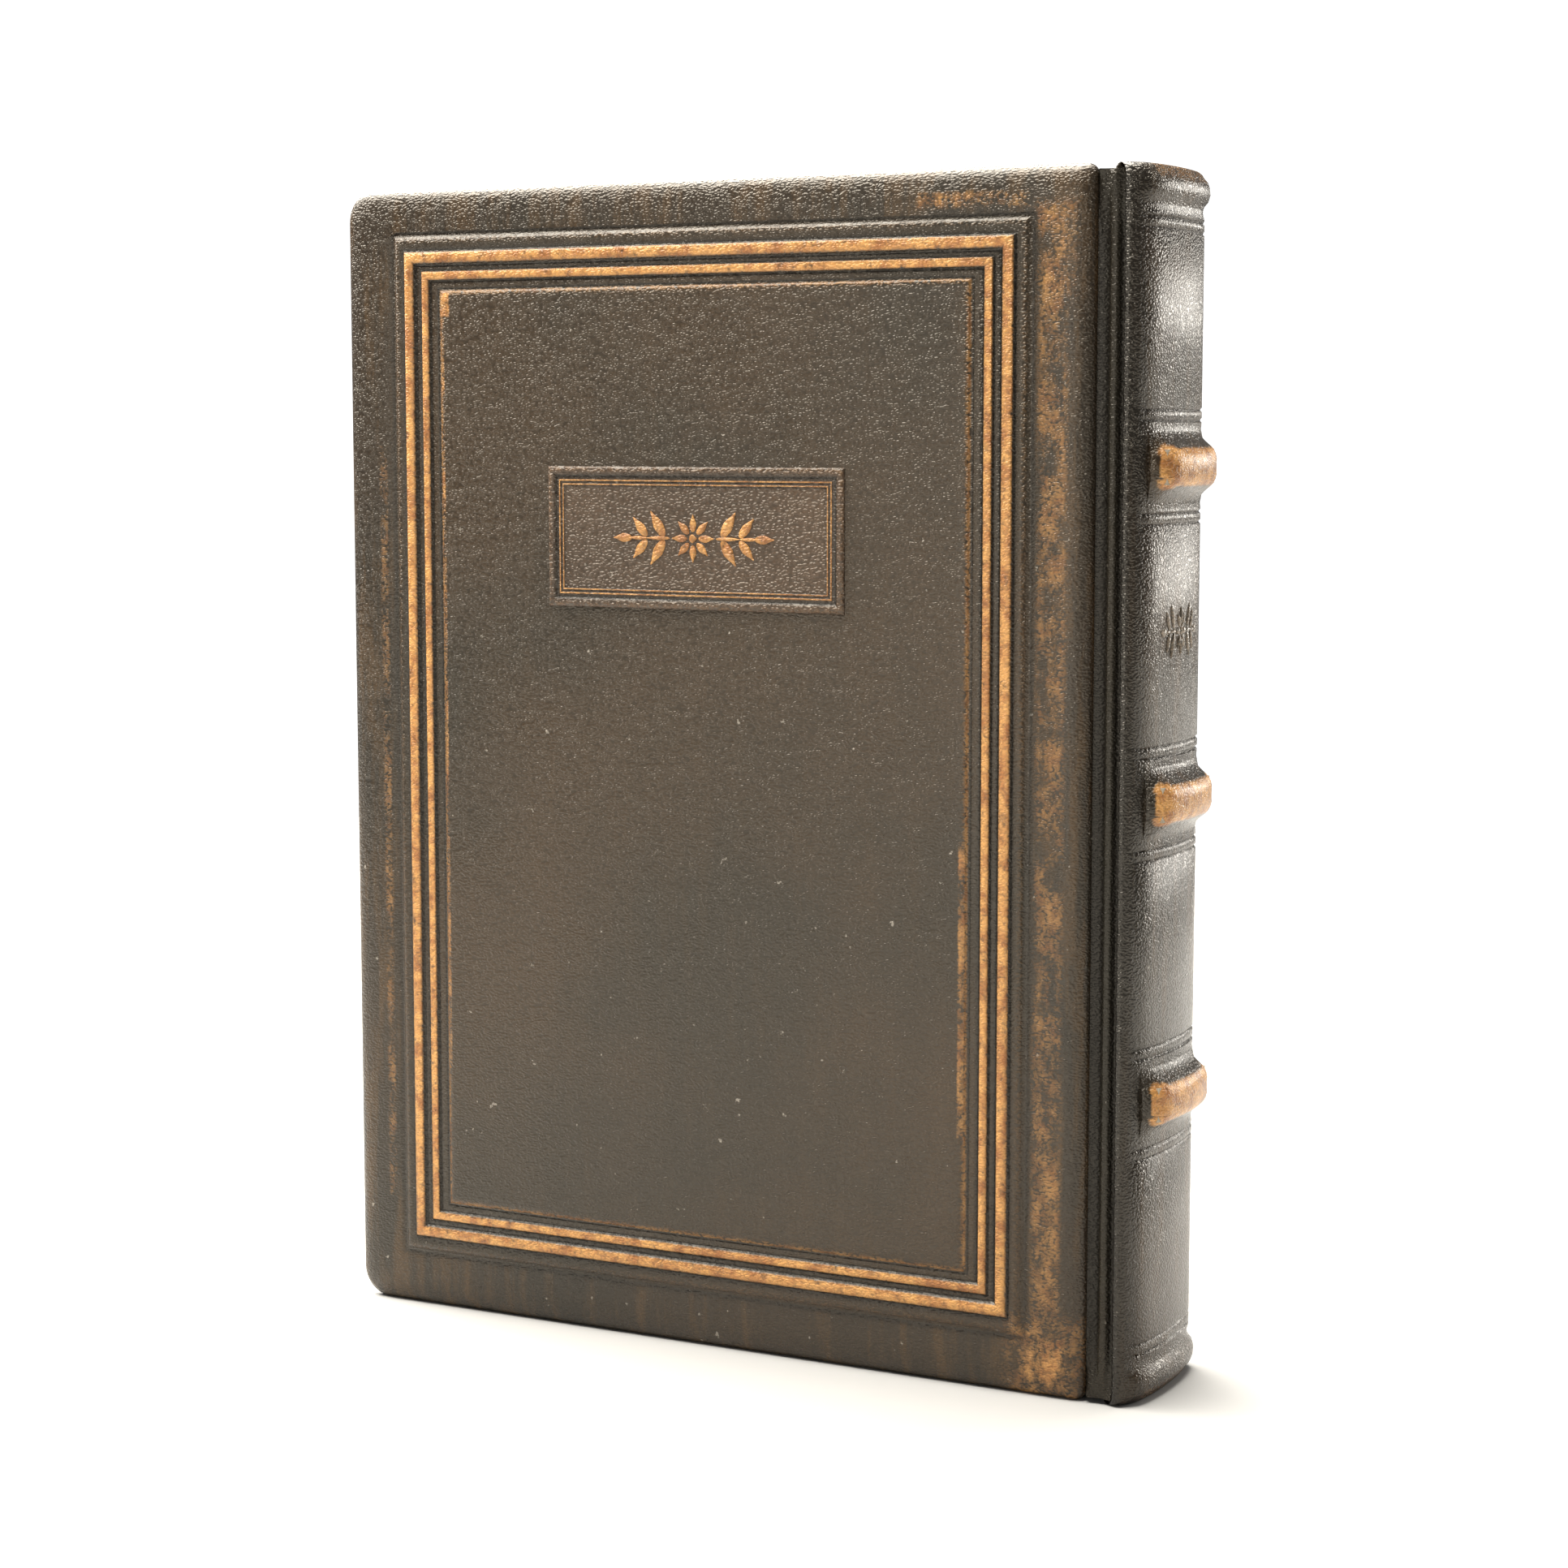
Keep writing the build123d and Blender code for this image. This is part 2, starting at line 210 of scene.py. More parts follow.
def turn_faces_out() -> None:
    """Turn every face of the mesh in edit mode outwards."""
    bpy.ops.mesh.select_all(action="SELECT")
    bpy.ops.mesh.normals_make_consistent(inside=False)


def extrude_to(offset: tuple, factor: tuple = (1, 1, 1), centre: Vector = Vector()) -> None:
    """Extrude the selection, move it and scale it about a centre.

    Args:
        offset: How far it moves.
        factor: How much it grows along each axis.
        centre: The point that it grows about.
    """
    bpy.ops.mesh.extrude_region_move(TRANSFORM_OT_translate={"value": offset})
    if factor != (1, 1, 1):
        bpy.ops.transform.resize(value=factor, center_override=centre)


def stamp_rings(rings: Sequence[Ring], start: Ring, centre: Vector, side: Side) -> None:
    """Extrude the selected face through a row of relief rings.

    Args:
        rings: The rings from the outside in.
        start: The ring where the face now lies.
        centre: The middle of the relief, at any depth.
        side: The side that the relief faces.
    """
    now = start
    for ring in rings:
        extrude_to(
            (0, side.value * (ring.rise - now.rise) * MM, 0),
            (ring.half_width / now.half_width, 1, ring.half_height / now.half_height),
            centre,
        )
        now = ring


def ring_wear(rings: Sequence[Ring], centre: Vector) -> Callable[[Vector], float]:
    """Return a function that gives the wear and painted shade of the ring that a point lies on.

    Args:
        rings: The rings of the relief.
        centre: Their middle.

    Returns:
        The function, for paint_wear.
    """

    def wear_of(point: Vector) -> float:
        """Return the wear and painted shade at a point."""
        across = abs(point.x - centre.x) / MM
        along = abs(point.z - centre.z) / MM
        for ring in rings:
            if abs(ring.half_width - across) < 0.01 and abs(ring.half_height - along) < 0.01:
                return ring.wear
        return 0.0

    return wear_of


def paint_wear(obj: bpy.types.Object, wear_of: Callable[[Vector], float]) -> None:
    """Store how worn each vertex is above zero, and how much painted shade it gets below zero.

    Args:
        obj: The finished piece.
        wear_of: Gives the wear at a point.
    """
    layer = obj.data.attributes.new("wear", "FLOAT", "POINT")
    for index, vertex in enumerate(obj.data.vertices):
        layer.data[index].value = wear_of(vertex.co)


def finish_piece(
    obj: bpy.types.Object,
    body: str,
    material: bpy.types.Material,
    smooth: float,
    replaces: tuple = (),
) -> None:
    """Smooth a piece, dress it and hang it on its body.

    Args:
        obj: The piece, in object mode.
        body: The CAD body that it moves with.
        material: Its finish.
        smooth: The angle in degrees under which edges are smooth.
        replaces: The CAD nodes that it stands for.
    """
    activate(obj)
    bpy.ops.object.shade_smooth_by_angle(angle=math.radians(smooth))
    obj.data.materials.clear()
    obj.data.materials.append(material)
    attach(obj, body)
    if replaces:
        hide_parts(*replaces)
    log.info("%s: %d faces, rides on %s", obj.name, len(obj.data.polygons), body)


# ---- Finishes ------------------------------------------------------------------------------
class Nodes:
    """A node tree that is put together in short calls."""

    def __init__(self, tree: bpy.types.NodeTree) -> None:
        """Keep the tree that the nodes go into."""
        self.tree = tree

    def put(self, kind: str, inputs: Optional[dict] = None, **settings) -> bpy.types.Node:
        """Add a node.

        Args:
            kind: The node's type, without "ShaderNode".
            inputs: Sockets or values, by the input's name or number.
            settings: The node's own properties.

        Returns:
            The node.
        """
        node = self.tree.nodes.new("ShaderNode" + kind)
        for key, value in settings.items():
            setattr(node, key, value)
        for key, value in (inputs or {}).items():
            if isinstance(value, bpy.types.NodeSocket):
                self.tree.links.new(value, node.inputs[key])
            else:
                node.inputs[key].default_value = value
        return node

    def calc(self, operation: str, first: Value, second: Value = 0.0, clamp: bool = False) -> Socket:
        """Return the result of a Math node."""
        values = {0: first, 1: second}
        return self.put("Math", values, operation=operation, use_clamp=clamp).outputs[0]

    def noise(
        self, vector: Socket, scale: float, detail: float = 3.0, rough: float = 0.55, bend: float = 0.0
    ) -> Socket:
        """Return the value of a noise texture."""
        values = {"Vector": vector, "Scale": scale, "Detail": detail}
        values |= {"Roughness": rough, "Distortion": bend}
        return self.put("TexNoise", values).outputs["Fac"]

    def stretch(self, vector: Socket, scale: tuple) -> Socket:
        """Return a vector scaled along each axis."""
        return self.put("Mapping", {"Vector": vector, "Scale": scale}).outputs[0]

    def band(
        self, value: Socket, low: Value, high: Value, first: float = 0.0, last: float = 1.0
    ) -> Socket:
        """Return a smooth step of a value between two limits."""
        return self.put(
            "MapRange",
            {"Value": value, "From Min": low, "From Max": high, "To Min": first, "To Max": last},
            interpolation_type="SMOOTHSTEP",
        ).outputs[0]

    def mix(self, amount: Value, first: Value, second: Value) -> Socket:
        """Return a mix of two colours."""
        return self.put("Mix", {0: amount, 6: first, 7: second}, data_type="RGBA").outputs[2]

    def feed(self, socket: Socket, shader: bpy.types.Node, name: str) -> None:
        """Link a value to one of the shader's inputs."""
        self.tree.links.new(socket, shader.inputs[name])

    def bump(self, shader: bpy.types.Node, height: Socket, strength: float, distance: float) -> None:
        """Give the shader a bump from a height."""
        values = {"Strength": strength, "Distance": distance, "Height": height}
        self.feed(self.put("Bump", values).outputs[0], shader, "Normal")


def new_group(name: str, inputs: dict, outputs: dict) -> tuple:
    """Start a node group.

    Args:
        name: The group's name.
        inputs: Socket kinds and defaults by name.
        outputs: Socket kinds by name.

    Returns:
        The group, its Nodes, its input node and its output node.
    """
    group = bpy.data.node_groups.new(name, "ShaderNodeTree")
    for label, (kind, value) in inputs.items():
        socket = group.interface.new_socket(label, in_out="INPUT", socket_type="NodeSocket" + kind)
        if value is not None:
            socket.default_value = value
    for label, kind in outputs.items():
        group.interface.new_socket(label, in_out="OUTPUT", socket_type="NodeSocket" + kind)
    nodes = Nodes(group)
    return group, nodes, group.nodes.new("NodeGroupInput"), group.nodes.new("NodeGroupOutput")


class SharedEffects:
    """The node groups that more than one finish uses."""

    def __init__(self) -> None:
        """Build every group once."""
        self.grain = self._grain()
        self.patch = self._patch()
        self.mottle = self._mottle()

    @staticmethod
    def _grain() -> bpy.types.NodeTree:
        """Build the pebbled grain of calf: wavy pebbles with a finer crackle between them."""
        group, n, given, out = new_group(
            "calf_grain",
            {"Vector": ("Vector", None), "Pebbles": ("Float", 1500.0)},
            {"Height": "Float", "Valleys": "Float"},
        )
        place = n.stretch(given.outputs["Vector"], (0.75, 1.0, 1.25))
        sway = n.put("TexNoise", {"Vector": place, "Scale": 420.0, "Detail": 2.0}).outputs["Color"]
        bent = n.put("VectorMath", {0: sway, 3: 0.0011}, operation="SCALE").outputs[0]
        place = n.put("VectorMath", {0: place, 1: bent}, operation="ADD").outputs[0]
        cells = n.put(
            "TexVoronoi",
            {"Vector": place, "Scale": given.outputs["Pebbles"], "Smoothness": 0.6},
            feature="SMOOTH_F1",
        ).outputs["Distance"]
        pebble = n.band(cells, 0.05, 0.75, 1.0, 0.0)
        fine = n.noise(place, 3400.0, 2.0)
        height = n.calc("ADD", pebble, n.calc("MULTIPLY", fine, 0.5))
        n.tree.links.new(height, out.inputs["Height"])
        n.tree.links.new(n.band(cells, 0.45, 0.85), out.inputs["Valleys"])
        return group

    @staticmethod
    def _patch() -> bpy.types.NodeTree:
        """Build the mask of a soft upright rectangle in the XZ plane."""
        names = ("Centre X", "Centre Z", "Half Width", "Half Height", "Softness")
        group, n, given, out = new_group(
            "soft_patch",
            {"Vector": ("Vector", None), **{name: ("Float", 0.001) for name in names}},
            {"Mask": "Float"},
        )
        axes = n.put("SeparateXYZ", {0: given.outputs["Vector"]})
        spans = []
        for axis, centre, half in (("X", "Centre X", "Half Width"), ("Z", "Centre Z", "Half Height")):
            away = n.calc("SUBTRACT", axes.outputs[axis], given.outputs[centre])
            spans.append(n.calc("SUBTRACT", n.calc("ABSOLUTE", away), given.outputs[half]))
        outside = n.calc("MAXIMUM", *spans)
        mask = n.band(outside, 0.0, given.outputs["Softness"], 1.0, 0.0)
        n.tree.links.new(mask, out.inputs["Mask"])
        return group

    @staticmethod
    def _mottle() -> bpy.types.NodeTree:
        """Build the cloudy unevenness of hand-stained leather and of old paper."""
        group, n, given, out = new_group(
            "cloudy_stain",
            {"Vector": ("Vector", None), "Clouds": ("Float", 22.0)},
            {"Clouds": "Float", "Flecks": "Float"},
        )
        clouds = n.put(
            "TexNoise",
            {"Vector": given.outputs["Vector"], "Scale": given.outputs["Clouds"], "Detail": 4.0},
        ).outputs["Fac"]
        flecks = n.noise(given.outputs["Vector"], 620.0, 3.0, 0.6)
        n.tree.links.new(n.band(clouds, 0.34, 0.66), out.inputs["Clouds"])
        n.tree.links.new(n.band(flecks, 0.70, 0.76), out.inputs["Flecks"])
        return group

    def use(self, nodes: Nodes, group: bpy.types.NodeTree, **inputs) -> bpy.types.Node:
        """Place a group in a material.

        Args:
            nodes: The material's nodes.
            group: The group to place.
            inputs: Its inputs, with underscores for spaces.

        Returns:
            The group node.
        """
        node = nodes.tree.nodes.new("ShaderNodeGroup")
        node.node_tree = group
        for key, value in inputs.items():
            socket = node.inputs[key.replace("_", " ")]
            if isinstance(value, bpy.types.NodeSocket):
                nodes.tree.links.new(value, socket)
            else:
                socket.default_value = value
        return node


def new_material(name: str) -> tuple:
    """Start a material.

    Args:
        name: The material's name.

    Returns:
        The material, its Nodes, its shader and its Object coordinates.
    """
    material = bpy.data.materials.new(name)
    material.use_nodes = True
    nodes = Nodes(material.node_tree)
    shader = material.node_tree.nodes["Principled BSDF"]
    place = nodes.put("TexCoord").outputs["Object"]
    return material, nodes, shader, place


@dataclass(frozen=True)
class Rub:
    """A patch of a cover where the stain is rubbed through, in mm from the relief's middle."""

    x: float
    z: float
    half_width: float
    half_height: float
    softness: float
    amount: float


@dataclass(frozen=True)
class StainedCalf:
    """Calf stained dark olive brown, with its raised places rubbed back to tan."""

    name: str
    dark: Colour = (0.024, 0.018, 0.011, 1)
    warm: Colour = (0.044, 0.027, 0.014, 1)
    # Near-black used for painted shade in creases, grooves and grain valleys, and to darken everything
    # outside the raised field
    grime: Colour = (0.006, 0.005, 0.004, 1)
    tan: Colour = (0.64, 0.32, 0.095, 1)
    burnt: Colour = (0.34, 0.13, 0.035, 1)
    dust: Colour = (0.42, 0.38, 0.32, 1)
    streak: Colour = (0.082, 0.043, 0.014, 1)
    specular_tint: Colour = (1.0, 0.92, 0.79, 1)
    pebbles: float = 2500.0
    grain_depth: float = 0.00010
    gloss: float = 0.36
    coat: float = 0.22
    coat_roughness: float = 0.30
    streaked: float = 0.55
    # How far everything outside the raised field is darkened towards near-black
    border_grime: float = 0.40
    specular: float = 0.5
    rubs: tuple[Rub, ...] = ()
    # Half width, half height and softness of the raised field, inside the border
    field: tuple = (54.0, 81.0, 0.8)

    @staticmethod
    def _patch(
        effects: SharedEffects, nodes: Nodes, place: Socket, middle: tuple, size: tuple
    ) -> Socket:
        """Return the mask of a soft patch, with its sizes in mm from the relief's middle."""
        return effects.use(
            nodes,
            effects.patch,
            Vector=place,
            Centre_X=COVER_X + middle[0] * MM,
            Centre_Z=RELIEF_Z + middle[1] * MM,
            Half_Width=size[0] * MM,
            Half_Height=size[1] * MM,
            Softness=size[2] * MM,
        ).outputs[0]

    def build(self, effects: SharedEffects) -> bpy.types.Material:
        """Build the material.

        Args:
            effects: The shared node groups.

        Returns:
            The material.
        """
        material, n, shader, place = new_material(self.name)
        grain = effects.use(n, effects.grain, Vector=place, Pebbles=self.pebbles)
        stain = effects.use(n, effects.mottle, Vector=place)
        wear = n.put("Attribute", attribute_name="wear").outputs["Fac"]
        broken = n.noise(place, 900.0, 4.0, 0.65)
        rubbed = n.calc("MULTIPLY", wear, n.band(broken, 0.30, 0.46, 0.55, 1.0))
        for rub in self.rubs:
            size = (rub.half_width, rub.half_height, rub.softness)
            mask = self._patch(effects, n, place, (rub.x, rub.z), size)
            cloud = n.band(n.noise(n.stretch(place, (1.0, 1.0, 0.55)), 330.0, 6.0, 0.7), 0.36, 0.66)
            worn = n.calc("MULTIPLY", n.calc("MULTIPLY", mask, cloud), rub.amount)
            rubbed = n.calc("MAXIMUM", rubbed, worn)
        rubbed = n.calc("SUBTRACT", rubbed, n.calc("MULTIPLY", grain.outputs["Valleys"], 0.38), True)
        base = n.mix(stain.outputs["Clouds"], self.dark, self.warm)
        streaks = n.noise(n.stretch(place, (1.0, 1.0, 0.10)), 330.0, 5.0, 0.65)
        field = self._patch(effects, n, place, (0.0, 0.0), self.field)
        outside = n.calc("SUBTRACT", 1.0, n.calc("MULTIPLY", field, 0.85))
        strength = n.calc("MULTIPLY", n.band(streaks, 0.46, 0.66), self.streaked)
        strength = n.calc("MULTIPLY", strength, outside)
        # Everything outside the raised field is darkened towards near-black
        base = n.mix(n.calc("MULTIPLY", outside, self.border_grime), base, self.grime)
        base = n.mix(strength, base, self.streak)
        # Painted shade: the grain's valleys are darkened towards near-black
        base = n.mix(n.calc("MULTIPLY", grain.outputs["Valleys"], 0.45), base, self.grime)
        base = n.mix(n.calc("MULTIPLY", stain.outputs["Flecks"], 0.55), base, self.dust)
        tint = n.mix(n.band(n.noise(place, 430.0, 4.0), 0.36, 0.70), self.tan, self.burnt)
        base = n.mix(rubbed, base, tint)
        # Painted shade: where the stored value is below zero, creases, grooves, band feet and
        # shoulders are darkened towards near-black
        painted_shade_amount = n.calc("MULTIPLY", wear, -1.0, True)
        base = n.mix(painted_shade_amount, base, self.grime)
        n.feed(base, shader, "Base Color")
        rough = n.calc("ADD", n.calc("MULTIPLY", n.noise(place, 75.0), 0.22), self.gloss - 0.11)
        rough = n.calc("ADD", rough, n.calc("MULTIPLY", rubbed, 0.10), True)
        n.feed(rough, shader, "Roughness")
        n.bump(shader, grain.outputs["Height"], 1.0, self.grain_depth)
        shader.inputs["Coat Weight"].default_value = self.coat
        shader.inputs["Coat Roughness"].default_value = self.coat_roughness
        shader.inputs["Specular IOR Level"].default_value = self.specular
        shader.inputs["Specular Tint"].default_value = self.specular_tint
        return material


@dataclass(frozen=True)
class LeafPaper:
    """Uncoated book paper: its edges show the leaves as fine lines, and its faces are plain."""

    name: str
    paper: Colour = (0.30, 0.255, 0.175, 1)
    edge: Colour = (0.150, 0.112, 0.062, 1)
    line_scale: float = 5200.0
    line_depth: float = 0.00006

    def build(self, effects: SharedEffects) -> bpy.types.Material:
        """Build the material.

        Args:
            effects: The shared node groups.

        Returns:
            The material.
        """
        material, n, shader, place = new_material(self.name)
        stain = effects.use(n, effects.mottle, Vector=place, Clouds=35.0)
        facing = n.put("SeparateXYZ", {0: n.put("TexCoord").outputs["Normal"]}).outputs["Y"]
        on_edge = n.band(n.calc("ABSOLUTE", facing), 0.3, 0.7, 1.0, 0.0)
        thin = n.stretch(place, (0.012, 1.0, 0.012))
        lines = n.noise(thin, self.line_scale, 3.0, 0.7)
        fibre = n.noise(place, 1900.0, 4.0, 0.6)
        line = n.calc("MULTIPLY", n.band(lines, 0.40, 0.62, 1.0, 0.0), on_edge)
        base = n.mix(line, self.paper, self.edge)
        base = n.mix(n.calc("MULTIPLY", stain.outputs["Clouds"], 0.18), base, self.edge)
        base = n.mix(n.calc("MULTIPLY", n.band(fibre, 0.58, 0.7), 0.10), base, self.edge)
        n.feed(base, shader, "Base Color")
        n.feed(n.calc("ADD", n.calc("MULTIPLY", fibre, 0.15), 0.72), shader, "Roughness")
        height = n.calc("ADD", n.calc("MULTIPLY", lines, on_edge), n.calc("MULTIPLY", fibre, 0.25))
        n.bump(shader, height, 0.8, self.line_depth)
        return material


@dataclass(frozen=True)
class WovenCloth:
    """Open cotton mull, linen cord and silk: two sets of threads that cross."""

    name: str
    thread: Colour
    gap: Colour
    along: float = 2600.0
    across: float = 2600.0
    sheen: float = 0.2
    roughness: float = 0.8
    thread_depth: float = 0.0001

    def build(self, effects: SharedEffects) -> bpy.types.Material:
        """Build the material.

        Args:
            effects: The shared node groups.

        Returns:
            The material.
        """
        material, n, shader, place = new_material(self.name)
        stain = effects.use(n, effects.mottle, Vector=place, Clouds=120.0)
        axes = n.put("SeparateXYZ", {0: place})
        across = n.calc("ADD", axes.outputs["X"], axes.outputs["Y"])
        warp = n.calc("SINE", n.calc("MULTIPLY", across, self.across))
        weft = n.calc("SINE", n.calc("MULTIPLY", axes.outputs["Z"], self.along))
        weave = n.band(n.calc("MAXIMUM", warp, weft), -0.4, 0.8)
        base = n.mix(weave, self.gap, self.thread)
        base = n.mix(n.calc("MULTIPLY", stain.outputs["Clouds"], 0.25), base, self.gap)
        n.feed(base, shader, "Base Color")
        rough = n.calc("SUBTRACT", self.roughness, n.calc("MULTIPLY", weave, 0.12))
        n.feed(rough, shader, "Roughness")
        n.bump(shader, weave, 0.7, self.thread_depth)
        shader.inputs["Sheen Weight"].default_value = self.sheen
        return material


@dataclass(frozen=True)
class PressedFibre:
    """Grey board, relief card and kraft paper: matt, with fibres and a pressed surface."""

    name: str
    face: Colour
    fibre: Colour
    fibre_depth: float = 0.00008

    def build(self, effects: SharedEffects) -> bpy.types.Material:
        """Build the material.

        Args:
            effects: The shared node groups.

        Returns:
            The material.
        """
        material, n, shader, place = new_material(self.name)
        stain = effects.use(n, effects.mottle, Vector=place, Clouds=60.0)
        fibres = n.noise(n.stretch(place, (0.5, 1.0, 1.6)), 1500.0, 5.0, 0.7, 0.8)
        base = n.mix(n.band(fibres, 0.45, 0.7), self.face, self.fibre)
        base = n.mix(n.calc("MULTIPLY", stain.outputs["Clouds"], 0.2), base, self.fibre)
        n.feed(base, shader, "Base Color")
        n.feed(n.calc("ADD", n.calc("MULTIPLY", fibres, 0.2), 0.7), shader, "Roughness")
        n.bump(shader, fibres, 0.6, self.fibre_depth)
        return material


@dataclass
class Finishes:
    """Every finish of the book, built once."""

    effects: SharedEffects = field(default_factory=SharedEffects)
    made: dict = field(default_factory=dict)
    front_rubs: tuple[Rub, ...] = (
        Rub(57.6, -2.0, 1.5, 84.0, 1.3, 0.40),
        Rub(58.0, 76.0, 1.1, 5.0, 3.0, 0.62),
        Rub(57.6, -85.0, 0.9, 2.0, 7.0, 0.80),
        Rub(-56.6, -12.0, 0.3, 60.0, 0.7, 0.34),
        Rub(45.0, 83.5, 8.0, 0.4, 1.2, 0.6),
        Rub(-44.2, 70.2, 0.7, 1.6, 0.5, 1.3),
        Rub(44.4, -30.0, 0.3, 22.0, 0.4, 0.8),
        Rub(-44.6, 10.0, 0.2, 60.0, 0.3, 0.6),
    )

    def palette(self) -> tuple:
        """Return every finish."""
        return (
            StainedCalf("front_calf", rubs=self.front_rubs),
            StainedCalf("back_calf", rubs=self.front_rubs[:4]),
            StainedCalf("spine_calf", gloss=0.30, grain_depth=0.00013, border_grime=0.15),
            # Darker, less glossy copy of the calf for the joints: painted shade for the deep groove
            StainedCalf(
                "joint_calf",
                dark=(0.018, 0.016, 0.011, 1),
                warm=(0.028, 0.022, 0.014, 1),
                gloss=0.34,
                coat=0.10,
                specular=0.32,
                streaked=0.0,
            ),
            # Light grey copy of the calf for the spine's ornament: painted highlight for the sheen on
            # its tooling
            StainedCalf(
                "tooled_calf",
                dark=(0.15, 0.135, 0.11, 1),
                warm=(0.23, 0.20, 0.16, 1),
                gloss=0.26,
                coat=0.5,
                streaked=0.0,
                border_grime=0.0,
            ),
            StainedCalf(
                "label_calf",
                dark=(0.050, 0.030, 0.018, 1),
                warm=(0.085, 0.050, 0.028, 1),
                grain_depth=0.00018,
                pebbles=2100.0,
                streaked=0.0,
                border_grime=0.0,
            ),
            LeafPaper("book_paper"),
            LeafPaper("endpaper", (0.33, 0.285, 0.205, 1), (0.22, 0.17, 0.10, 1), 2400.0),
            WovenCloth("mull", (0.34, 0.30, 0.24, 1), (0.13, 0.11, 0.08, 1)),
            WovenCloth(
                "band_silk", (0.55, 0.34, 0.13, 1), (0.16, 0.08, 0.03, 1), 1400.0, 5200.0, 0.5, 0.5
            ),
            WovenCloth("cap_cord", (0.50, 0.42, 0.28, 1), (0.20, 0.15, 0.09, 1), 3100.0, 4300.0),
            PressedFibre("grey_board", (0.27, 0.25, 0.22, 1), (0.16, 0.15, 0.13, 1)),
            PressedFibre("relief_card", (0.42, 0.37, 0.29, 1), (0.30, 0.25, 0.18, 1)),
            PressedFibre("kraft_paper", (0.30, 0.19, 0.10, 1), (0.20, 0.12, 0.06, 1)),
        )

    def build(self) -> None:
        """Build the materials."""
        for finish in self.palette():
            self.made[finish.name] = finish.build(self.effects)

    def dress_frame(self) -> None:
        """Give each CAD node the finish of its slot."""
        by_slot = {
            "cover_leather": "front_calf", "label_leather": "label_calf", "mull_cloth": "mull"
        }
        for name, node in frame["nodes"].items():
            slot = slot_of(name)
            node.data.materials.clear()
            node.data.materials.append(self.made[by_slot.get(slot, slot)])


def slot_of(name: str) -> str:
    """Return the material slot of a CAD node.

    Args:
        name: The node's name.

    Returns:
        The name of its slot.
    """
    ends = {
        "field_card": "relief_card",
        "panel_card": "relief_card",
        "band_core": "relief_card",
        "_board": "grey_board",
        "spine_card": "grey_board",
        "cover_leather": "cover_leather",
        "joint_leather": "cover_leather",
        "spine_leather": "cover_leather",
        "label": "label_leather",
        "mull_flap": "mull_cloth",
        "spine_mull": "mull_cloth",
        "pastedown": "endpaper",
        "flyleaf": "endpaper",
        "endpaper_guard": "endpaper",
        "hollow_back_tube": "kraft_paper",
        "headband": "band_silk",
        "tailband": "band_silk",
        "cap_cord": "cap_cord",
    }
    for end, slot in ends.items():
        if name.endswith(end):
            return slot
    return "book_paper"


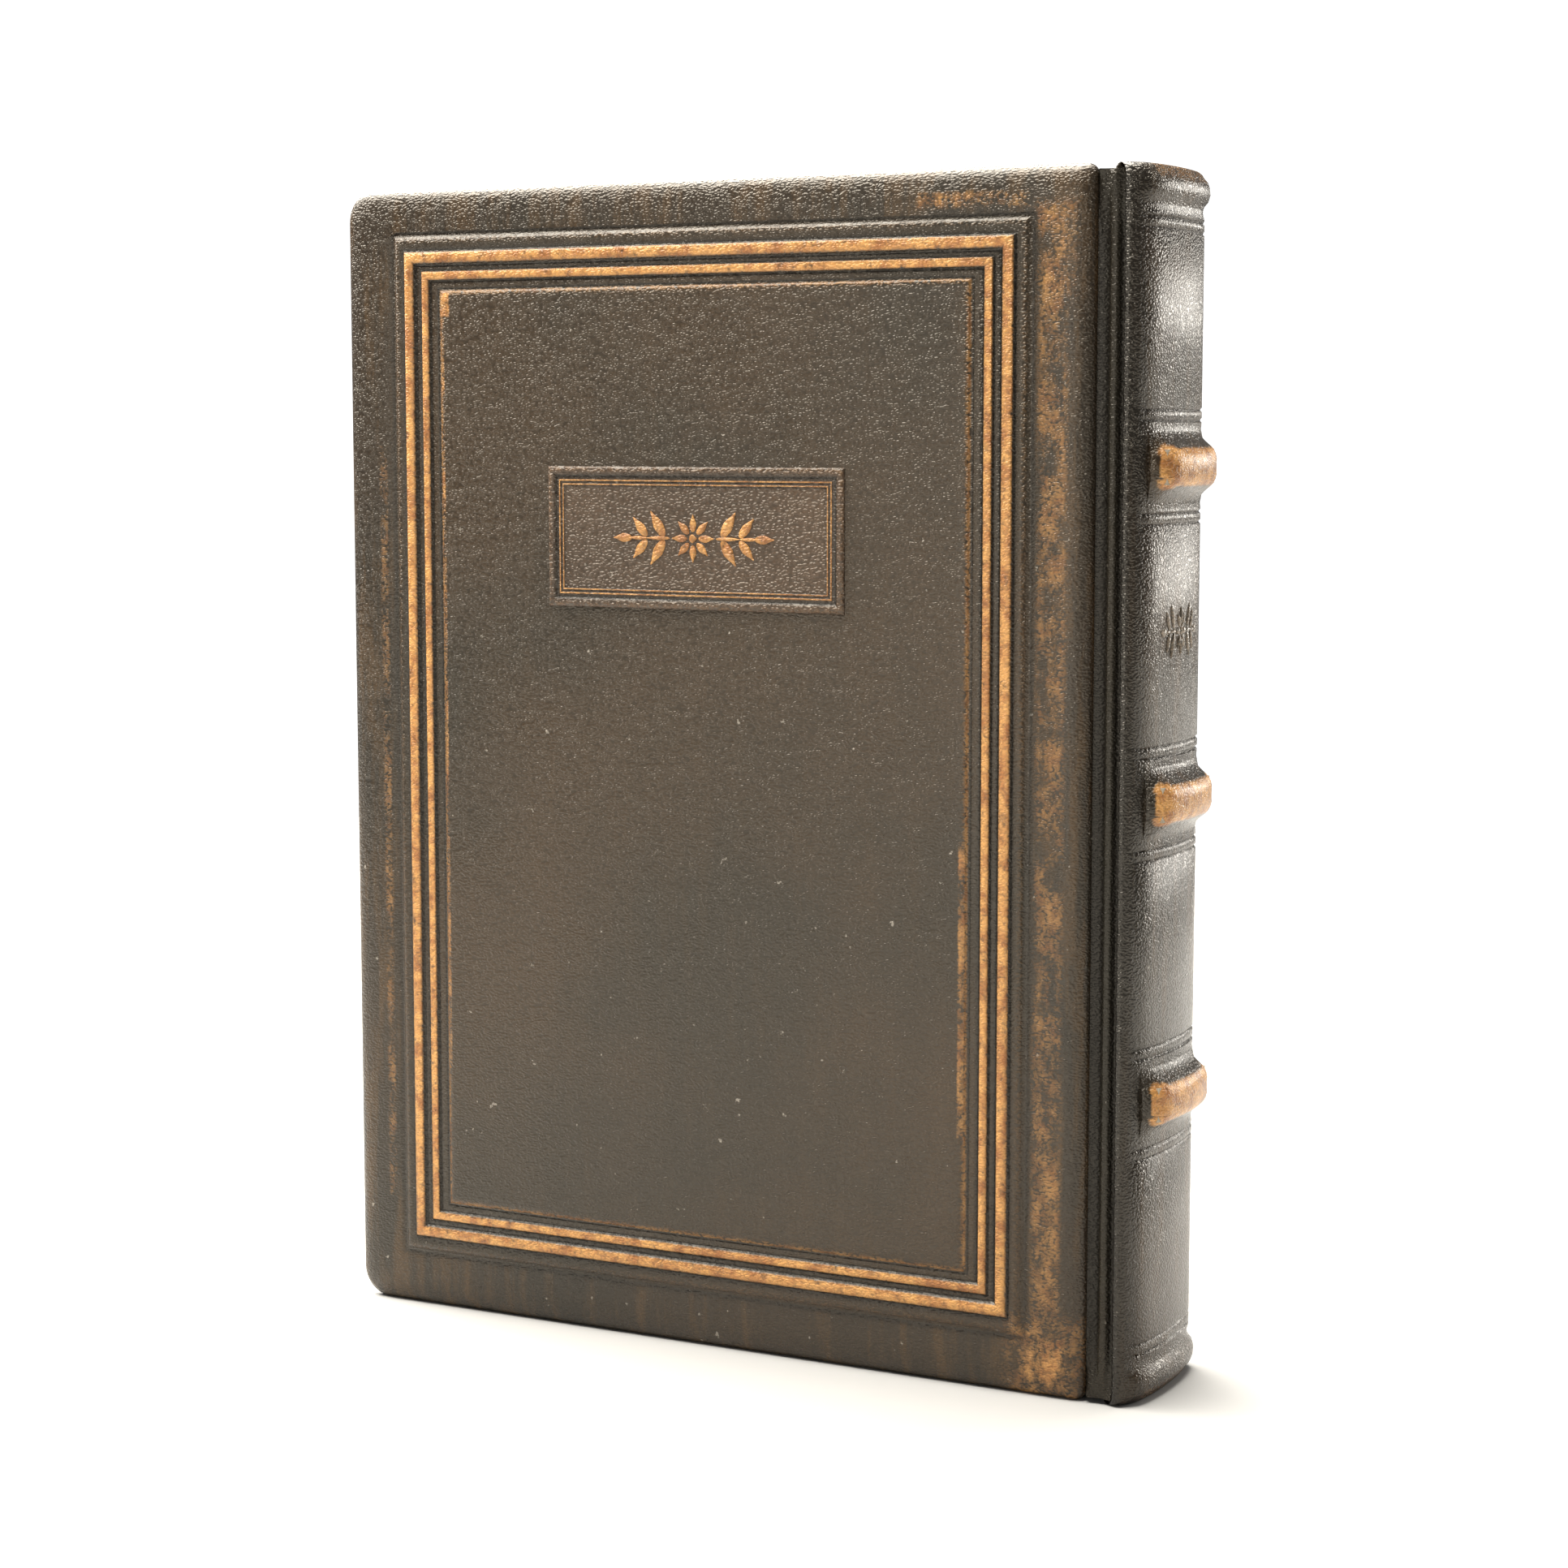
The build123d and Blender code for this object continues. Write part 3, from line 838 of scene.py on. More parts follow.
# ---- Covers --------------------------------------------------------------------------------
@dataclass
class Cover:
    """One cover's leather: padded edges, a raised field with two lines, and a raised panel."""

    side: Side
    half_width: float = 63.5
    half_height: float = 89.0
    corner: float = 4.5
    joint_corner: float = 1.8
    corner_segments: int = 8
    border: float = 13.9
    field_level: float = 14.5
    panel_level: float = 15.0
    # How far in from the outline, and how far from the book's middle, round the padded edge
    edge: tuple = (
        (0.12, 11.12), (0.0, 11.5), (0.0, 12.0), (0.10, 12.4), (0.35, 12.8), (0.75, 13.14),
        (1.3, 13.43), (2.0, 13.66), (2.9, 13.83), (4.0, 13.93), (5.2, 13.95), (6.6, 13.92),
    )

    # The relief's rows, from the border in: half width, half height, rise over the level, and wear,
    # which below zero is painted shade in the valleys
    border_rows: tuple = (
        (55.2, 82.0, 0.0, 0.0), (54.75, 81.6, -0.12, -0.4), (54.4, 81.25, -0.22, -0.7),
        (54.1, 80.95, -0.10, -0.2), (53.75, 80.6, 0.22, 0.03), (53.4, 80.25, 0.52, 0.06),
        (53.1, 79.95, 0.66, 0.04),
    )
    field_rows: tuple = (
        (52.75, 79.6, 0.03, 0.0), (52.3, 79.05, -0.06, -0.25), (52.0, 78.6, -0.2, -0.95),
    )
    between_rows: tuple = (
        (49.62, 76.22, -0.16, -0.95), (49.3, 75.95, -0.03, -0.3),
        (49.05, 75.78, -0.03, -0.3), (48.75, 75.55, -0.16, -0.95),
    )
    inner_rows: tuple = (
        (46.9, 73.75, -0.15, -0.95), (46.6, 73.5, -0.02, -0.2), (46.3, 73.25, 0.02, 0.0),
        (45.75, 72.85, 0.01, -0.1), (45.5, 72.65, -0.12, -0.95), (45.2, 72.4, -0.02, 0.2),
        (45.0, 72.2, 0.15, 0.42), (44.75, 71.95, 0.32, 0.22), (44.4, 71.6, 0.44, 0.03),
    )
    panel_rows: tuple = ((43.9, 71.1, -0.01, 0.0), (42.8, 70.0, 0.0, 0.0))

    def relief(self) -> list[Ring]:
        """Return the rings of the stamped relief, from the border in."""
        rings = self._rings(self.border, self.border_rows)
        rings += self._rings(self.field_level, self.field_rows)
        rings += self._line(51.82, 78.42, 1.9, 0.46)
        rings += self._rings(self.field_level, self.between_rows)
        rings += self._line(48.6, 75.4, 1.45, 0.38)
        rings += self._rings(self.field_level, self.inner_rows)
        return rings + self._rings(self.panel_level, self.panel_rows)

    @staticmethod
    def _rings(level: float, rows: tuple) -> list[Ring]:
        """Return the rings of rows given as half width, half height, rise over a level and wear."""
        return [Ring(wide, tall, level + rise, wear) for wide, tall, rise, wear in rows]

    def _line(self, half_width: float, half_height: float, breadth: float, rise: float) -> list[Ring]:
        """Return the rings of one raised, rounded, rubbed line.

        Args:
            half_width: Half its outer width.
            half_height: Half its outer height.
            breadth: How broad the line is.
            rise: How far it stands above the field.

        Returns:
            Its rings from the outside in.
        """
        rings = []
        # Share of the breadth, height and wear: the crown is rubbed to tan, and the -0.5 at both feet
        # is painted shade
        for share, height, wear in (
            (0.0, 0.0, -0.5), (0.07, 0.45, 0.45), (0.18, 0.80, 0.9), (0.35, 0.97, 1.0),
            (0.50, 1.0, 1.0), (0.65, 0.97, 1.0), (0.82, 0.80, 0.9), (0.93, 0.45, 0.4),
            (1.0, 0.0, -0.5),
        ):
            inset = share * breadth
            rings.append(
                Ring(half_width - inset, half_height - inset, self.field_level + height * rise, wear)
            )
        return rings

    def build(self, finishes: Finishes) -> bpy.types.Object:
        """Model the cover's leather and hang it on its cover.

        Args:
            finishes: The book's finishes.

        Returns:
            The piece.
        """
        name = f"{self.side.label}_cover_skin"
        sign = self.side.value
        middle = Vector((COVER_X, sign * INNER_FACE, COVER_Z))
        inset = 0.5
        skin = upright_plane(
            name,
            middle,
            2 * (self.half_width - inset) * MM,
            2 * (self.half_height - inset) * MM,
            self.side,
        )
        for joint_side, radius in ((False, self.corner), (True, self.joint_corner)):
            pick(skin, "verts", lambda vertex: (vertex.co.x > COVER_X) == joint_side)
            bpy.ops.mesh.bevel(
                offset=radius * MM, segments=self.corner_segments, affect="VERTICES"
            )
        bpy.ops.mesh.select_all(action="SELECT")
        now = Ring(self.half_width - inset, self.half_height - inset, INNER_FACE / MM)
        rings = [
            Ring(self.half_width - step, self.half_height - step, depth) for step, depth in self.edge
        ]
        stamp_rings(rings, now, middle, self.side)
        bpy.ops.mesh.delete(type="ONLY_FACE")
        bpy.ops.object.mode_set(mode="OBJECT")

        relief = self.relief()
        centre = Vector((COVER_X, sign * relief[0].rise * MM, RELIEF_Z))
        plate = upright_plane(
            name + "_relief",
            centre,
            2 * relief[0].half_width * MM,
            2 * relief[0].half_height * MM,
            self.side,
        )
        stamp_rings(relief[1:], relief[0], centre, self.side)
        low = sign * relief[0].rise * MM
        most = 0.9 * 4 * relief[0].half_width * relief[0].half_height * MM**2
        pick(
            plate,
            "faces",
            lambda face: face.calc_area() > most
            and abs(face.calc_center_median().y - low) < 1e-6,
        )
        bpy.ops.mesh.delete(type="ONLY_FACE")
        bpy.ops.object.mode_set(mode="OBJECT")

        deselect()
        plate.select_set(True)
        skin.select_set(True)
        bpy.context.view_layer.objects.active = skin
        bpy.ops.object.join()
        bpy.ops.object.mode_set(mode="EDIT")
        pick(skin, "edges", lambda edge: edge.is_boundary)
        bpy.ops.mesh.bridge_edge_loops()
        turn_faces_out()
        bpy.ops.object.mode_set(mode="OBJECT")

        paint_wear(skin, ring_wear(relief, centre))
        material = finishes.made[f"{self.side.label}_calf"]
        body = f"{self.side.label}_cover"
        finish_piece(skin, body, material, 38, (f"{self.side.label}_cover_leather",))
        return skin


@dataclass
class Label:
    """The title label: a raised frame, fine double lines and a rosette between leaf scrolls."""

    above: float = 34.7
    level: float = 15.0
    half_width: float = 25.4
    half_height: float = 10.75
    floor_level: float = 15.13

    def rings(self) -> list[Ring]:
        """Return the rings of the label, from its outline in."""
        # Inset, rise and wear of each ring: above zero rubbed to tan, below zero painted shade in the
        # grooves and at the label's foot
        rows = [
            (0.0, 0.00, -0.7), (0.12, 0.16, 0.0), (0.32, 0.38, 0.08), (0.62, 0.50, 0.06),
            (0.95, 0.46, 0.0), (1.2, 0.30, -0.3), (1.5, 0.10, -0.95), (1.9, 0.15, -0.5),
            (2.0, 0.17, -0.3), (2.08, 0.27, 0.75), (2.24, 0.27, 0.75), (2.32, 0.16, -0.5),
            (2.62, 0.16, -0.4), (2.70, 0.25, 0.7), (2.84, 0.25, 0.7), (2.92, 0.15, -0.5),
            (3.4, 0.13, 0.0),
        ]
        return [
            Ring(self.half_width - inset, self.half_height - inset, self.level + rise, wear)
            for inset, rise, wear in rows
        ]

    def build(self, finishes: Finishes) -> None:
        """Model the label and its ornament.

        Args:
            finishes: The book's finishes.
        """
        rings = self.rings()
        start = Ring(self.half_width, self.half_height, self.level - 0.3)
        centre = Vector((COVER_X, -start.rise * MM, RELIEF_Z + self.above * MM))
        label = upright_plane(
            "title_label", centre, 2 * start.half_width * MM, 2 * start.half_height * MM, Side.FRONT
        )
        stamp_rings(rings, start, centre, Side.FRONT)
        turn_faces_out()
        bpy.ops.object.mode_set(mode="OBJECT")

        paint_wear(label, ring_wear(rings, centre))
        material = finishes.made["label_calf"]
        finish_piece(label, "front_cover", material, 38, ("front_label",))
        ornament = Ornament("label_ornament", centre.x, centre.z, -self.floor_level * MM)
        piece = ornament.build()
        paint_wear(piece, lambda point: 0.95)
        finish_piece(piece, "front_cover", finishes.made["label_calf"], 60)


@dataclass
class Ornament:
    """A generic rosette with a pair of leaf scrolls on each side, stamped in low relief."""

    name: str
    x: float
    z: float
    y: float
    on_spine: bool = False
    petals: int = 8
    petal_length: float = 2.6
    petal_width: float = 1.15
    petal_root: float = 0.95
    rise: float = 0.24

    def _leaf(self, length: float, width: float) -> bpy.types.Object:
        """Model one pointed leaf that lies along +X from the origin, and faces -Y.

        Args:
            length: Its length in mm.
            width: Its width in mm.

        Returns:
            The leaf.
        """
        deselect()
        bpy.ops.mesh.primitive_uv_sphere_add(segments=14, ring_count=8, radius=1)
        leaf = bpy.context.object
        leaf.scale = (length / 2 * MM, self.rise * MM, width / 2 * MM)
        leaf.location = (length / 2 * MM, 0, 0)
        bpy.ops.object.transform_apply(location=True, rotation=True, scale=True)
        bpy.ops.object.mode_set(mode="EDIT")
        for start, factor in ((0.55, 0.72), (0.78, 0.55)):
            pick(leaf, "verts", lambda vertex: vertex.co.x > start * length * MM)
            root = (start * length * MM, 0, 0)
            bpy.ops.transform.resize(value=(1.06, 1, factor), center_override=root)
        bpy.ops.object.mode_set(mode="OBJECT")
        return leaf

    def _place(self, leaf: bpy.types.Object, x: float, z: float, angle: float) -> bpy.types.Object:
        """Turn a leaf in the XZ plane and put its root at a place, in mm from the middle."""
        activate(leaf)
        leaf.rotation_euler = (0, -math.radians(angle), 0)
        leaf.location = (self.x + x * MM, self.y, self.z + z * MM)
        bpy.ops.object.transform_apply(location=True, rotation=True, scale=True)
        return leaf

    def build(self) -> bpy.types.Object:
        """Model the ornament.

        Returns:
            The ornament as one piece.
        """
        parts = []
        for number in range(self.petals):
            petal = self._leaf(self.petal_length, self.petal_width)
            turn = 360 / self.petals * number
            x = self.petal_root * math.cos(math.radians(turn))
            z = self.petal_root * math.sin(math.radians(turn))
            parts.append(self._place(petal, x, z, turn))
        parts.append(self._place(self._leaf(1.3, 1.3), -0.65, 0, 0))
        for sense in (1, -1):
            base = 0 if sense == 1 else 180
            stem = ((3.9, 0.0, 0, 4.4, 0.6), (7.9, 0.0, 0, 3.6, 0.55))
            leaves = (
                (4.9, 0.2, 58, 4.4, 1.7), (4.9, -0.2, -58, 4.4, 1.7), (7.9, 0.2, 50, 3.7, 1.45),
                (7.9, -0.2, -50, 3.7, 1.45), (10.5, 0.0, 0, 3.2, 1.35),
            )
            for x, z, angle, length, width in stem + leaves:
                leaf = self._leaf(length, width)
                parts.append(self._place(leaf, sense * x, z, base + sense * angle))
        deselect()
        for part in parts:
            part.select_set(True)
        bpy.context.view_layer.objects.active = parts[0]
        bpy.ops.object.join()
        ornament = bpy.context.object
        ornament.name = self.name
        if self.on_spine:
            # Turned from the cover's plane to the spine's, about the ornament's own middle
            bpy.ops.object.mode_set(mode="EDIT")
            bpy.ops.mesh.select_all(action="SELECT")
            middle = Vector((self.x, self.y, self.z))
            bpy.ops.transform.resize(value=(0.50, 1.2, 0.95), center_override=middle)
            bpy.ops.object.mode_set(mode="OBJECT")
            for vertex in ornament.data.vertices:
                across = vertex.co.x - self.x
                out = vertex.co.y - self.y
                vertex.co.x = self.x - out - across**2 / (2 * Spine.radius * MM)
                vertex.co.y = across
        return ornament


# ---- Spine and joints ----------------------------------------------------------------------
@dataclass
class Spine:
    """The spine's leather: flat arc, swept shoulders, three raised bands and rolled caps.

    Sizes are in mm, with x counted from the joint edge of the covers.
    """

    radius: float = 59.0
    apex: float = 8.5
    half: float = 13.5
    sweep_start: float = 7.0
    arc_steps: int = 18
    shoulder: tuple = (
        (8.02, 7.6), (7.93, 8.2), (7.82, 8.85), (7.68, 9.5), (7.52, 10.1), (7.32, 10.7),
        (6.88, 11.7), (6.38, 12.5), (5.86, 13.1), (5.34, 13.45), (4.85, 13.5), (4.48, 13.25),
        (4.22, 12.75), (4.05, 12.1), (3.98, 11.4),
    )
    band_shares: tuple = (0.249, 0.493, 0.762)
    band_foot: float = 4.9
    band_end: float = 10.6
    band_round: float = 7.4
    # Each step up a band: how far it rises, and how much narrower and shorter it gets
    band_steps: tuple = (
        (0.45, 0.857, 0.998), (0.50, 0.881, 0.992), (0.50, 0.892, 0.985), (0.50, 0.879, 0.978),
        (0.45, 0.845, 0.970), (0.35, 0.776, 0.960), (0.25, 0.632, 0.950), (0.10, 0.417, 0.94),
    )
    cap_reach: float = 1.6
    # The lip of a cap and the crease beside it: height from the end, and how far the row dips
    lip: tuple = ((1.6, -0.45), (2.4, -0.75), (3.4, -0.85), (4.4, -0.55), (5.1, 0.1), (5.8, 0.32))
    # Each step round a cap: how far in from the leather's face, and how far short of the end
    cap_steps: tuple = (
        (0.10, 1.0), (0.35, 0.5), (0.75, 0.15), (1.3, 0.0),
        (1.9, 0.15), (2.3, 0.55), (2.5, 1.2), (2.6, 4.8),
    )
    line_offsets: tuple = (6.6, 8.1)
    end_lines: tuple = (7.4, 8.9)
    line_depth: float = 0.34
    line_half: float = 0.34

    def heights(self) -> list[tuple[float, float]]:
        """Return the rows up the spine as height in mm and how far each row dips."""
        total = BOOK_TOP / MM
        rows = {}
        for height, bulge in self.lip:
            rows[height] = bulge
            rows[total - height] = bulge
        lines = [*self.end_lines, *(total - offset for offset in self.end_lines)]
        for share in self.band_shares:
            middle = total * share
            for offset in (-self.band_foot, self.band_foot):
                rows[middle + offset] = 0.0
            for step in (-self.band_foot - 0.35, self.band_foot + 0.35):
                rows[middle + step] = 0.10
            for offset in self.line_offsets:
                lines += [middle - offset, middle + offset]
        for line in lines:
            rows[line] = self.line_depth
            for step, dip in ((-self.line_half, 0.0), (self.line_half, 0.0)):
                rows[line + step] = dip
        return sorted(rows.items())

    def build(self, finishes: Finishes) -> None:
        """Model the spine's leather.

        Args:
            finishes: The book's finishes.
        """
        rows = self.heights()
        axis_x = JOINT_X + (self.apex - self.radius) * MM
        start_angle = math.asin(self.sweep_start / self.radius)
        start = Vector((axis_x + self.radius * MM * math.cos(start_angle), -self.sweep_start * MM, 0))
        spine = upright_row("spine_skin", [(start.x, start.y, height * MM) for height, _ in rows])
        bpy.ops.mesh.spin(
            steps=self.arc_steps, angle=-2 * start_angle, center=(axis_x, 0, 0), axis=(0, 0, 1)
        )
        self._shoulders(spine, start)
        self._caps(spine, rows)
        bpy.ops.mesh.select_all(action="SELECT")
        bpy.ops.mesh.remove_doubles(threshold=1e-6)
        turn_faces_out()
        self._face_out(spine)
        self._bands(spine)
        self._lines(spine, rows)
        bpy.ops.object.mode_set(mode="OBJECT")
        self._paint(spine)
        finish_piece(
            spine, "text_block", finishes.made["spine_calf"], 50, ("spine_leather",)
        )
        face_x = JOINT_X + self.apex * MM
        stamp = Ornament("spine_ornament", face_x, BOOK_TOP * 0.63, 0.0, on_spine=True)
        piece = stamp.build()
        # Painted highlight: a slight tan rub that stands in for light catching the tooling
        paint_wear(piece, lambda point: 0.12)
        finish_piece(piece, "text_block", finishes.made["tooled_calf"], 60)

    def _shoulders(self, spine: bpy.types.Object, start: Vector) -> None:
        """Extrude both ends of the arc round the shoulders and down to the joints."""
        for sign in (-1, 1):
            edge_y = sign * self.sweep_start * MM
            pick(
                spine,
                "edges",
                lambda edge: edge.is_boundary
                and all(abs(vertex.co.y - edge_y) < 1e-6 for vertex in edge.verts),
            )
            x, y = (start.x - JOINT_X) / MM, self.sweep_start
            for next_x, next_y in self.shoulder:
                extrude_to(((next_x - x) * MM, sign * (next_y - y) * MM, 0))
                x, y = next_x, next_y
            extrude_to((1.6 * MM, sign * -0.1 * MM, 0))

    def _caps(self, spine: bpy.types.Object, rows: list) -> None:
        """Roll the leather over at head and tail, and turn it in."""
        for low, edge_z in ((True, rows[0][0] * MM), (False, rows[-1][0] * MM)):
            pick(
                spine,
                "edges",
                lambda edge: edge.is_boundary
                and all(abs(vertex.co.z - edge_z) < 1e-6 for vertex in edge.verts),
            )
            way = -1 if low else 1
            reach = self.cap_reach
            previous = 0.0
            for inset, short in self.cap_steps:
                extrude_to((-(inset - previous) * MM, 0, way * (reach - short) * MM))
                bpy.ops.transform.resize(
                    value=(1, (self.half - inset) / (self.half - previous), 1),
                    center_override=Vector((JOINT_X, 0, 0)),
                )
                previous = inset
                reach = short

    def _face_out(self, spine: bpy.types.Object) -> None:
        """Turn the sheet's faces so that the spine's middle faces +X."""
        mesh = bmesh.from_edit_mesh(spine.data)
        middle = [face for face in mesh.faces if abs(face.calc_center_median().y) < 2 * MM]
        outer = max(middle, key=lambda face: face.calc_center_median().x)
        if outer.normal.x < 0:
            bpy.ops.mesh.select_all(action="SELECT")
            bpy.ops.mesh.flip_normals()

    def _bands(self, spine: bpy.types.Object) -> None:
        """Raise the three bands from the sheet, slope their sides and round their crowns."""
        for share in self.band_shares:
            middle = BOOK_TOP * share
            reach = self.band_foot * MM

            def on_band(face: bmesh.types.BMFace) -> bool:
                """Say whether a face is under this band."""
                centre = face.calc_center_median()
                return abs(centre.z - middle) < reach and abs(centre.y) < self.band_end * MM

            pick(spine, "faces", lambda face: on_band(face) and face.normal.x > 0.3)
            centre = Vector((JOINT_X + self.apex * MM, 0, middle))
            for rise, tall, wide in self.band_steps:
                bpy.ops.mesh.extrude_region_shrink_fatten(
                    TRANSFORM_OT_shrink_fatten={"value": rise * MM}
                )
                bpy.ops.transform.resize(value=(1, wide, tall), center_override=centre)
            mesh = bmesh.from_edit_mesh(spine.data)
            for vertex in mesh.verts:
                over_y = abs(vertex.co.y) / MM
                over = abs(vertex.co.y) - self.band_round * MM
                height = vertex.co.z - middle
                if over > 0 and abs(height) < reach - 0.05 * MM:
                    share = min(1.0, over / ((self.band_end + 0.2 - self.band_round) * MM))
                    face_x = centre.x + (math.sqrt(self.radius**2 - over_y**2) - self.radius) * MM
                    vertex.co.z = middle + height * math.sqrt(1 - 0.72 * share**2)
                    vertex.co.x -= 0.45 * share**2 * max(0.0, vertex.co.x - face_x)
            bmesh.update_edit_mesh(spine.data)

    def _lines(self, spine: bpy.types.Object, rows: list) -> None:
        """Press the fine blind lines into the sheet."""
        for height, dip in rows:
            if dip:
                found = pick(
                    spine,
                    "verts",
                    lambda vertex: abs(vertex.co.z - height * MM) < 1e-6
                    and abs(vertex.co.y) < 12.4 * MM
                    and vertex.co.x > JOINT_X + 6.5 * MM,
                )
                if found:
                    bpy.ops.transform.translate(value=(-dip * MM, 0, 0))

    def _paint(self, spine: bpy.types.Object) -> None:
        """Rub the bands' crowns and the caps to tan, and paint shade at the feet of the bands and on
        the shoulders towards the joints.
        """
        total = BOOK_TOP / MM

        def wear_of(point: Vector) -> float:
            """Return the wear and painted shade at a point of the spine."""
            x, y, z = (point.x - JOINT_X) / MM, point.y / MM, point.z / MM
            face = self.apex - self.radius + math.sqrt(self.radius**2 - min(abs(y), 14.0) ** 2)
            proud = x - face
            for share in self.band_shares:
                if abs(z - total * share) < self.band_foot + 0.01:
                    bare = 1.95 - 1.15 * max(0.0, min(1.0, (abs(y) - 7.0) / 2.5))
                    if proud > bare and abs(y) < 10.5:
                        return min(1.0, (proud - bare) / 0.35)
                    # Painted shade at the foot of a band
                    if 0.05 < proud < 0.3 and abs(y) < 11.5:
                        return -0.3
            # Painted shade on the shoulders, darkest towards the joint grooves
            if abs(y) > 9.6:
                return -0.7 * min(1.0, (abs(y) - 9.6) / 2.2) - 0.3 * max(0.0, min(1.0, 6.0 - x))
            if (z < 2.0 or z > total - 2.0) and proud > -1.2:
                return 0.15
            return 0.0

        paint_wear(spine, wear_of)


@dataclass
class Joint:
    """The joint leather of one side: a groove with a ridge along it, closing at both ends.

    The section is in mm: x from the cover's joint edge, and distance from the book's middle; its third
    column is the wear, below zero painted shade in the groove.
    """

    side: Side
    section: tuple = (
        (-0.45, 12.2, -0.9), (-0.05, 12.05, -0.9), (0.5, 11.95, -0.9), (1.2, 11.95, -0.9),
        (1.75, 12.1, -0.8), (2.05, 12.45, -0.3), (2.3, 12.8, 0.0), (2.55, 12.93, 0.0),
        (2.8, 12.88, -0.1), (3.05, 12.93, 0.0), (3.3, 12.75, -0.2), (3.55, 12.3, -0.8),
        (3.85, 12.05, -0.9), (4.25, 12.1, -0.9), (4.6, 12.3, -0.9),
    )
    inner: float = 11.35
    end_gap: float = 0.9
    rows: int = 46
    fade: float = 12.0
    lift: float = 1.25
    bend_start: float = 3.4
    bend_end: float = 2.2

    def build(self, finishes: Finishes) -> None:
        """Model the joint's leather between the spine and the cover.

        Args:
            finishes: The book's finishes.
        """
        sign = self.side.value
        total = BOOK_TOP / MM
        first = self.section[0]
        points = []
        for number in range(self.rows):
            share = number / (self.rows - 1)
            eased = 0.5 - 0.5 * math.cos(math.pi * share)
            height = self.end_gap + (total - 2 * self.end_gap) * (0.35 * share + 0.65 * eased)
            points.append((JOINT_X + first[0] * MM, sign * first[1] * MM, height * MM))
        joint = upright_row(f"{self.side.label}_joint_skin", points)
        x, y = first[0], first[1]
        loop = list(self.section[1:]) + [
            (4.6, self.inner, 0),
            (3.0, self.inner, 0),
            (1.0, self.inner, 0),
            (-0.45, self.inner, 0),
            (first[0], first[1], 0),
        ]
        for next_x, next_y, _ in loop:
            extrude_to(((next_x - x) * MM, sign * (next_y - y) * MM, 0))
            x, y = next_x, next_y
        bpy.ops.mesh.select_all(action="SELECT")
        bpy.ops.mesh.remove_doubles(threshold=1e-6)
        pick(joint, "edges", lambda edge: edge.is_boundary)
        bpy.ops.mesh.edge_face_add()
        turn_faces_out()
        bpy.ops.object.mode_set(mode="OBJECT")
        joint_shades = self._shape_ends(joint, sign, total)
        layer = joint.data.attributes.new("wear", "FLOAT", "POINT")
        for index, wear in enumerate(joint_shades):
            layer.data[index].value = wear
        activate(joint)
        bpy.ops.object.shade_smooth_by_angle(angle=math.radians(50))
        joint.data.materials.append(finishes.made["joint_calf"])
        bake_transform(joint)
        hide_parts(f"{self.side.label}_joint_leather")
        log.info("%s: %d faces, bends with %s", joint.name, len(joint.data.polygons), self.side.label)

    def _shape_ends(self, joint: bpy.types.Object, sign: int, total: float) -> list[float]:
        """Lift and wrinkle the groove near head and tail, and return each vertex's painted shade."""
        known = {(round(x, 2), round(y, 2)): wear for x, y, wear in self.section}
        joint_shades = []
        for vertex in joint.data.vertices:
            x = (vertex.co.x - JOINT_X) / MM
            y = abs(vertex.co.y) / MM
            z = vertex.co.z / MM
            wear = known.get((round(x, 2), round(y, 2)), 0.0)
            near = max(0.0, 1.0 - min(z, total - z) / self.fade)
            closing = near * near * (3 - 2 * near)
            if y > self.inner + 0.05 and 0.2 < x < 4.4:
                level = 12.55 + self.lift * 0.5
                wrinkle = 0.28 * math.sin(z * 2.1 + x * 1.3) + 0.16 * math.sin(z * 4.3 - x * 2.0)
                y += closing * (level - y) * 0.75 + closing * wrinkle
                vertex.co.y = sign * y * MM
                # The groove's painted shade weakens where the groove closes at head and tail
                wear *= 1.0 - 0.75 * closing
            joint_shades.append(wear)
        return joint_shades


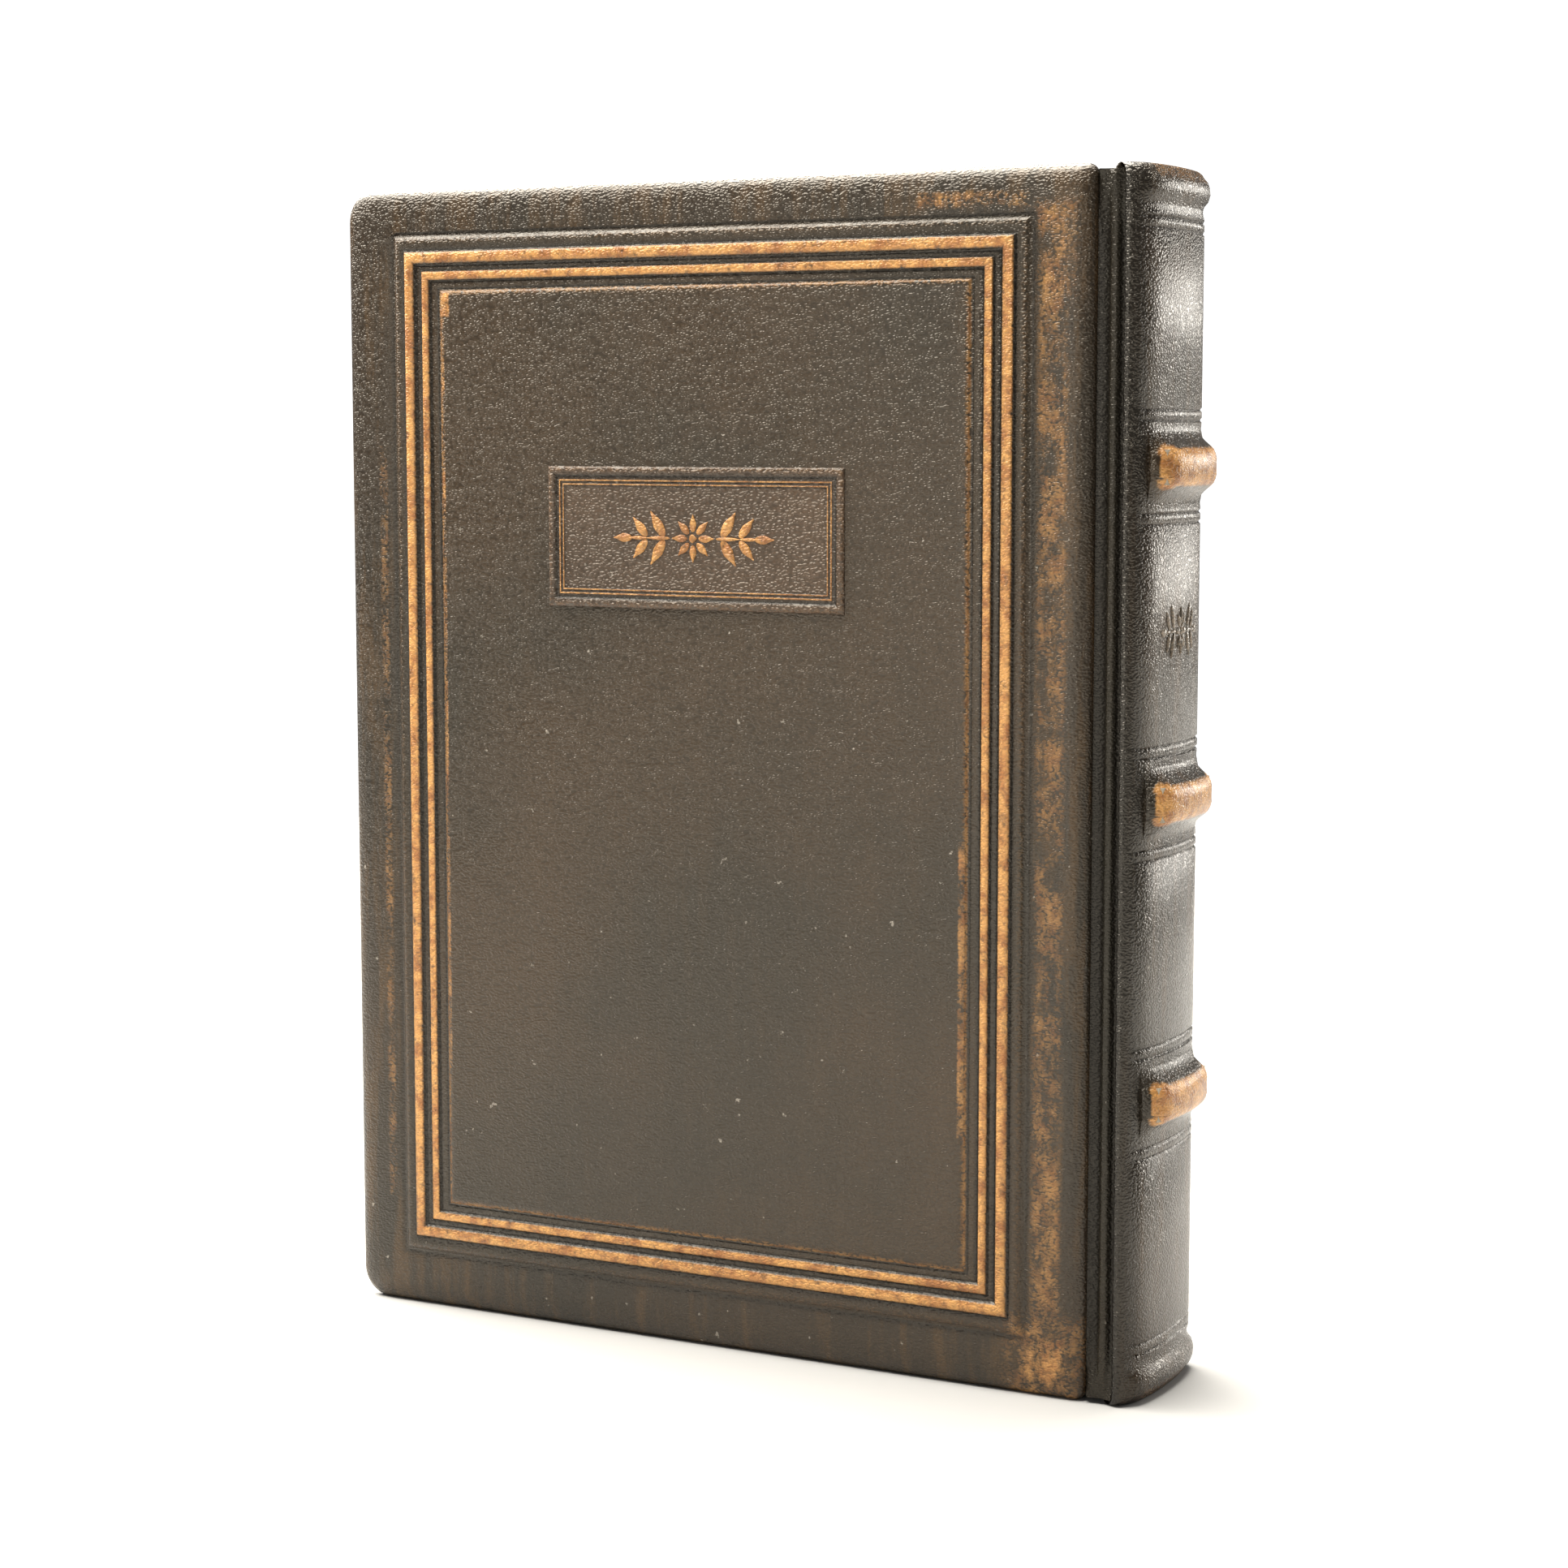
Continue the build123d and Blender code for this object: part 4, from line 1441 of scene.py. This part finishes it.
# ---- Studio --------------------------------------------------------------------------------
@dataclass
class Studio:
    """Camera, soft lights and pale floor."""

    lens: float = 73.05
    pitch: float = 6.47
    turn: float = 27.56
    reach: float = 0.99447
    away: tuple = (0.23459, -0.42044, 0.13350)
    relief_base: float = 0.00905
    ambient: float = 0.17
    backdrop: float = 1.2
    warmth: tuple = (1.0, 0.955, 0.88)
    floor_size: float = 1.35

    def build(self) -> None:
        """Put up the camera, lights, world and floor."""
        data = bpy.data.cameras.new("camera")
        camera = bpy.data.objects.new("camera", data)
        bpy.context.scene.collection.objects.link(camera)
        data.lens = self.lens
        data.sensor_width = 36
        field_face = PANEL_FACE - 0.5 * MM
        camera.location = (
            self.away[0] * self.reach + COVER_X,
            self.away[1] * self.reach - field_face,
            self.away[2] * self.reach + self.relief_base,
        )
        camera.rotation_euler = (math.radians(90 - self.pitch), 0, math.radians(self.turn))
        bpy.context.scene.camera = camera
        bpy.context.scene.view_settings.view_transform = "Standard"

        world = bpy.data.worlds.new("studio")
        bpy.context.scene.world = world
        world.use_nodes = True
        nodes = Nodes(world.node_tree)
        background = world.node_tree.nodes["Background"]
        background.inputs[0].default_value = (1, 1, 1, 1)
        seen = nodes.put("LightPath").outputs["Is Camera Ray"]
        extra = nodes.calc("MULTIPLY", seen, self.backdrop - self.ambient)
        strength = nodes.calc("ADD", extra, self.ambient)
        world.node_tree.links.new(strength, background.inputs[1])
        lamps = (
            ("top_light", (-0.30, 0.09, 0.80), 60.0, 1.0, 1.2),
            ("spine_light", (0.45, 0.85, 0.24), 4.0, 0.50, 0.18),
            ("front_light", (-0.16, -0.98, 0.08), 2.2, 0.4, 0.5),
        )
        for name, place, energy, width, height in lamps:
            light = bpy.data.lights.new(name, "AREA")
            light.shape = "RECTANGLE"
            light.energy = energy
            light.color = self.warmth
            light.size = width
            light.size_y = height
            lamp = bpy.data.objects.new(name, light)
            bpy.context.scene.collection.objects.link(lamp)
            lamp.location = place
            aim = Vector((0, 0, COVER_Z)) - Vector(place)
            lamp.rotation_euler = aim.to_track_quat("-Z", "Y").to_euler()

        deselect()
        bpy.ops.mesh.primitive_circle_add(
            vertices=96, radius=self.floor_size / 2, fill_type="NGON", location=(0, 0, 0)
        )
        floor = bpy.context.object
        floor.name = "floor"
        material, nodes, shader, place = new_material("floor")
        tone = nodes.mix(nodes.noise(place, 3.0), (0.40, 0.40, 0.395, 1), (0.44, 0.44, 0.435, 1))
        nodes.tree.links.new(tone, shader.inputs["Base Color"])
        shader.inputs["Roughness"].default_value = 0.9
        floor.data.materials.append(material)


def main() -> None:
    """Build the book's pieces in order, then the studio."""
    Studio().build()
    finishes = Finishes()
    finishes.build()
    finishes.dress_frame()
    for side in Side:
        Cover(side).build(finishes)
        Joint(side).build(finishes)
    Label().build(finishes)
    Spine().build(finishes)


if __name__ == "__main__":
    main()
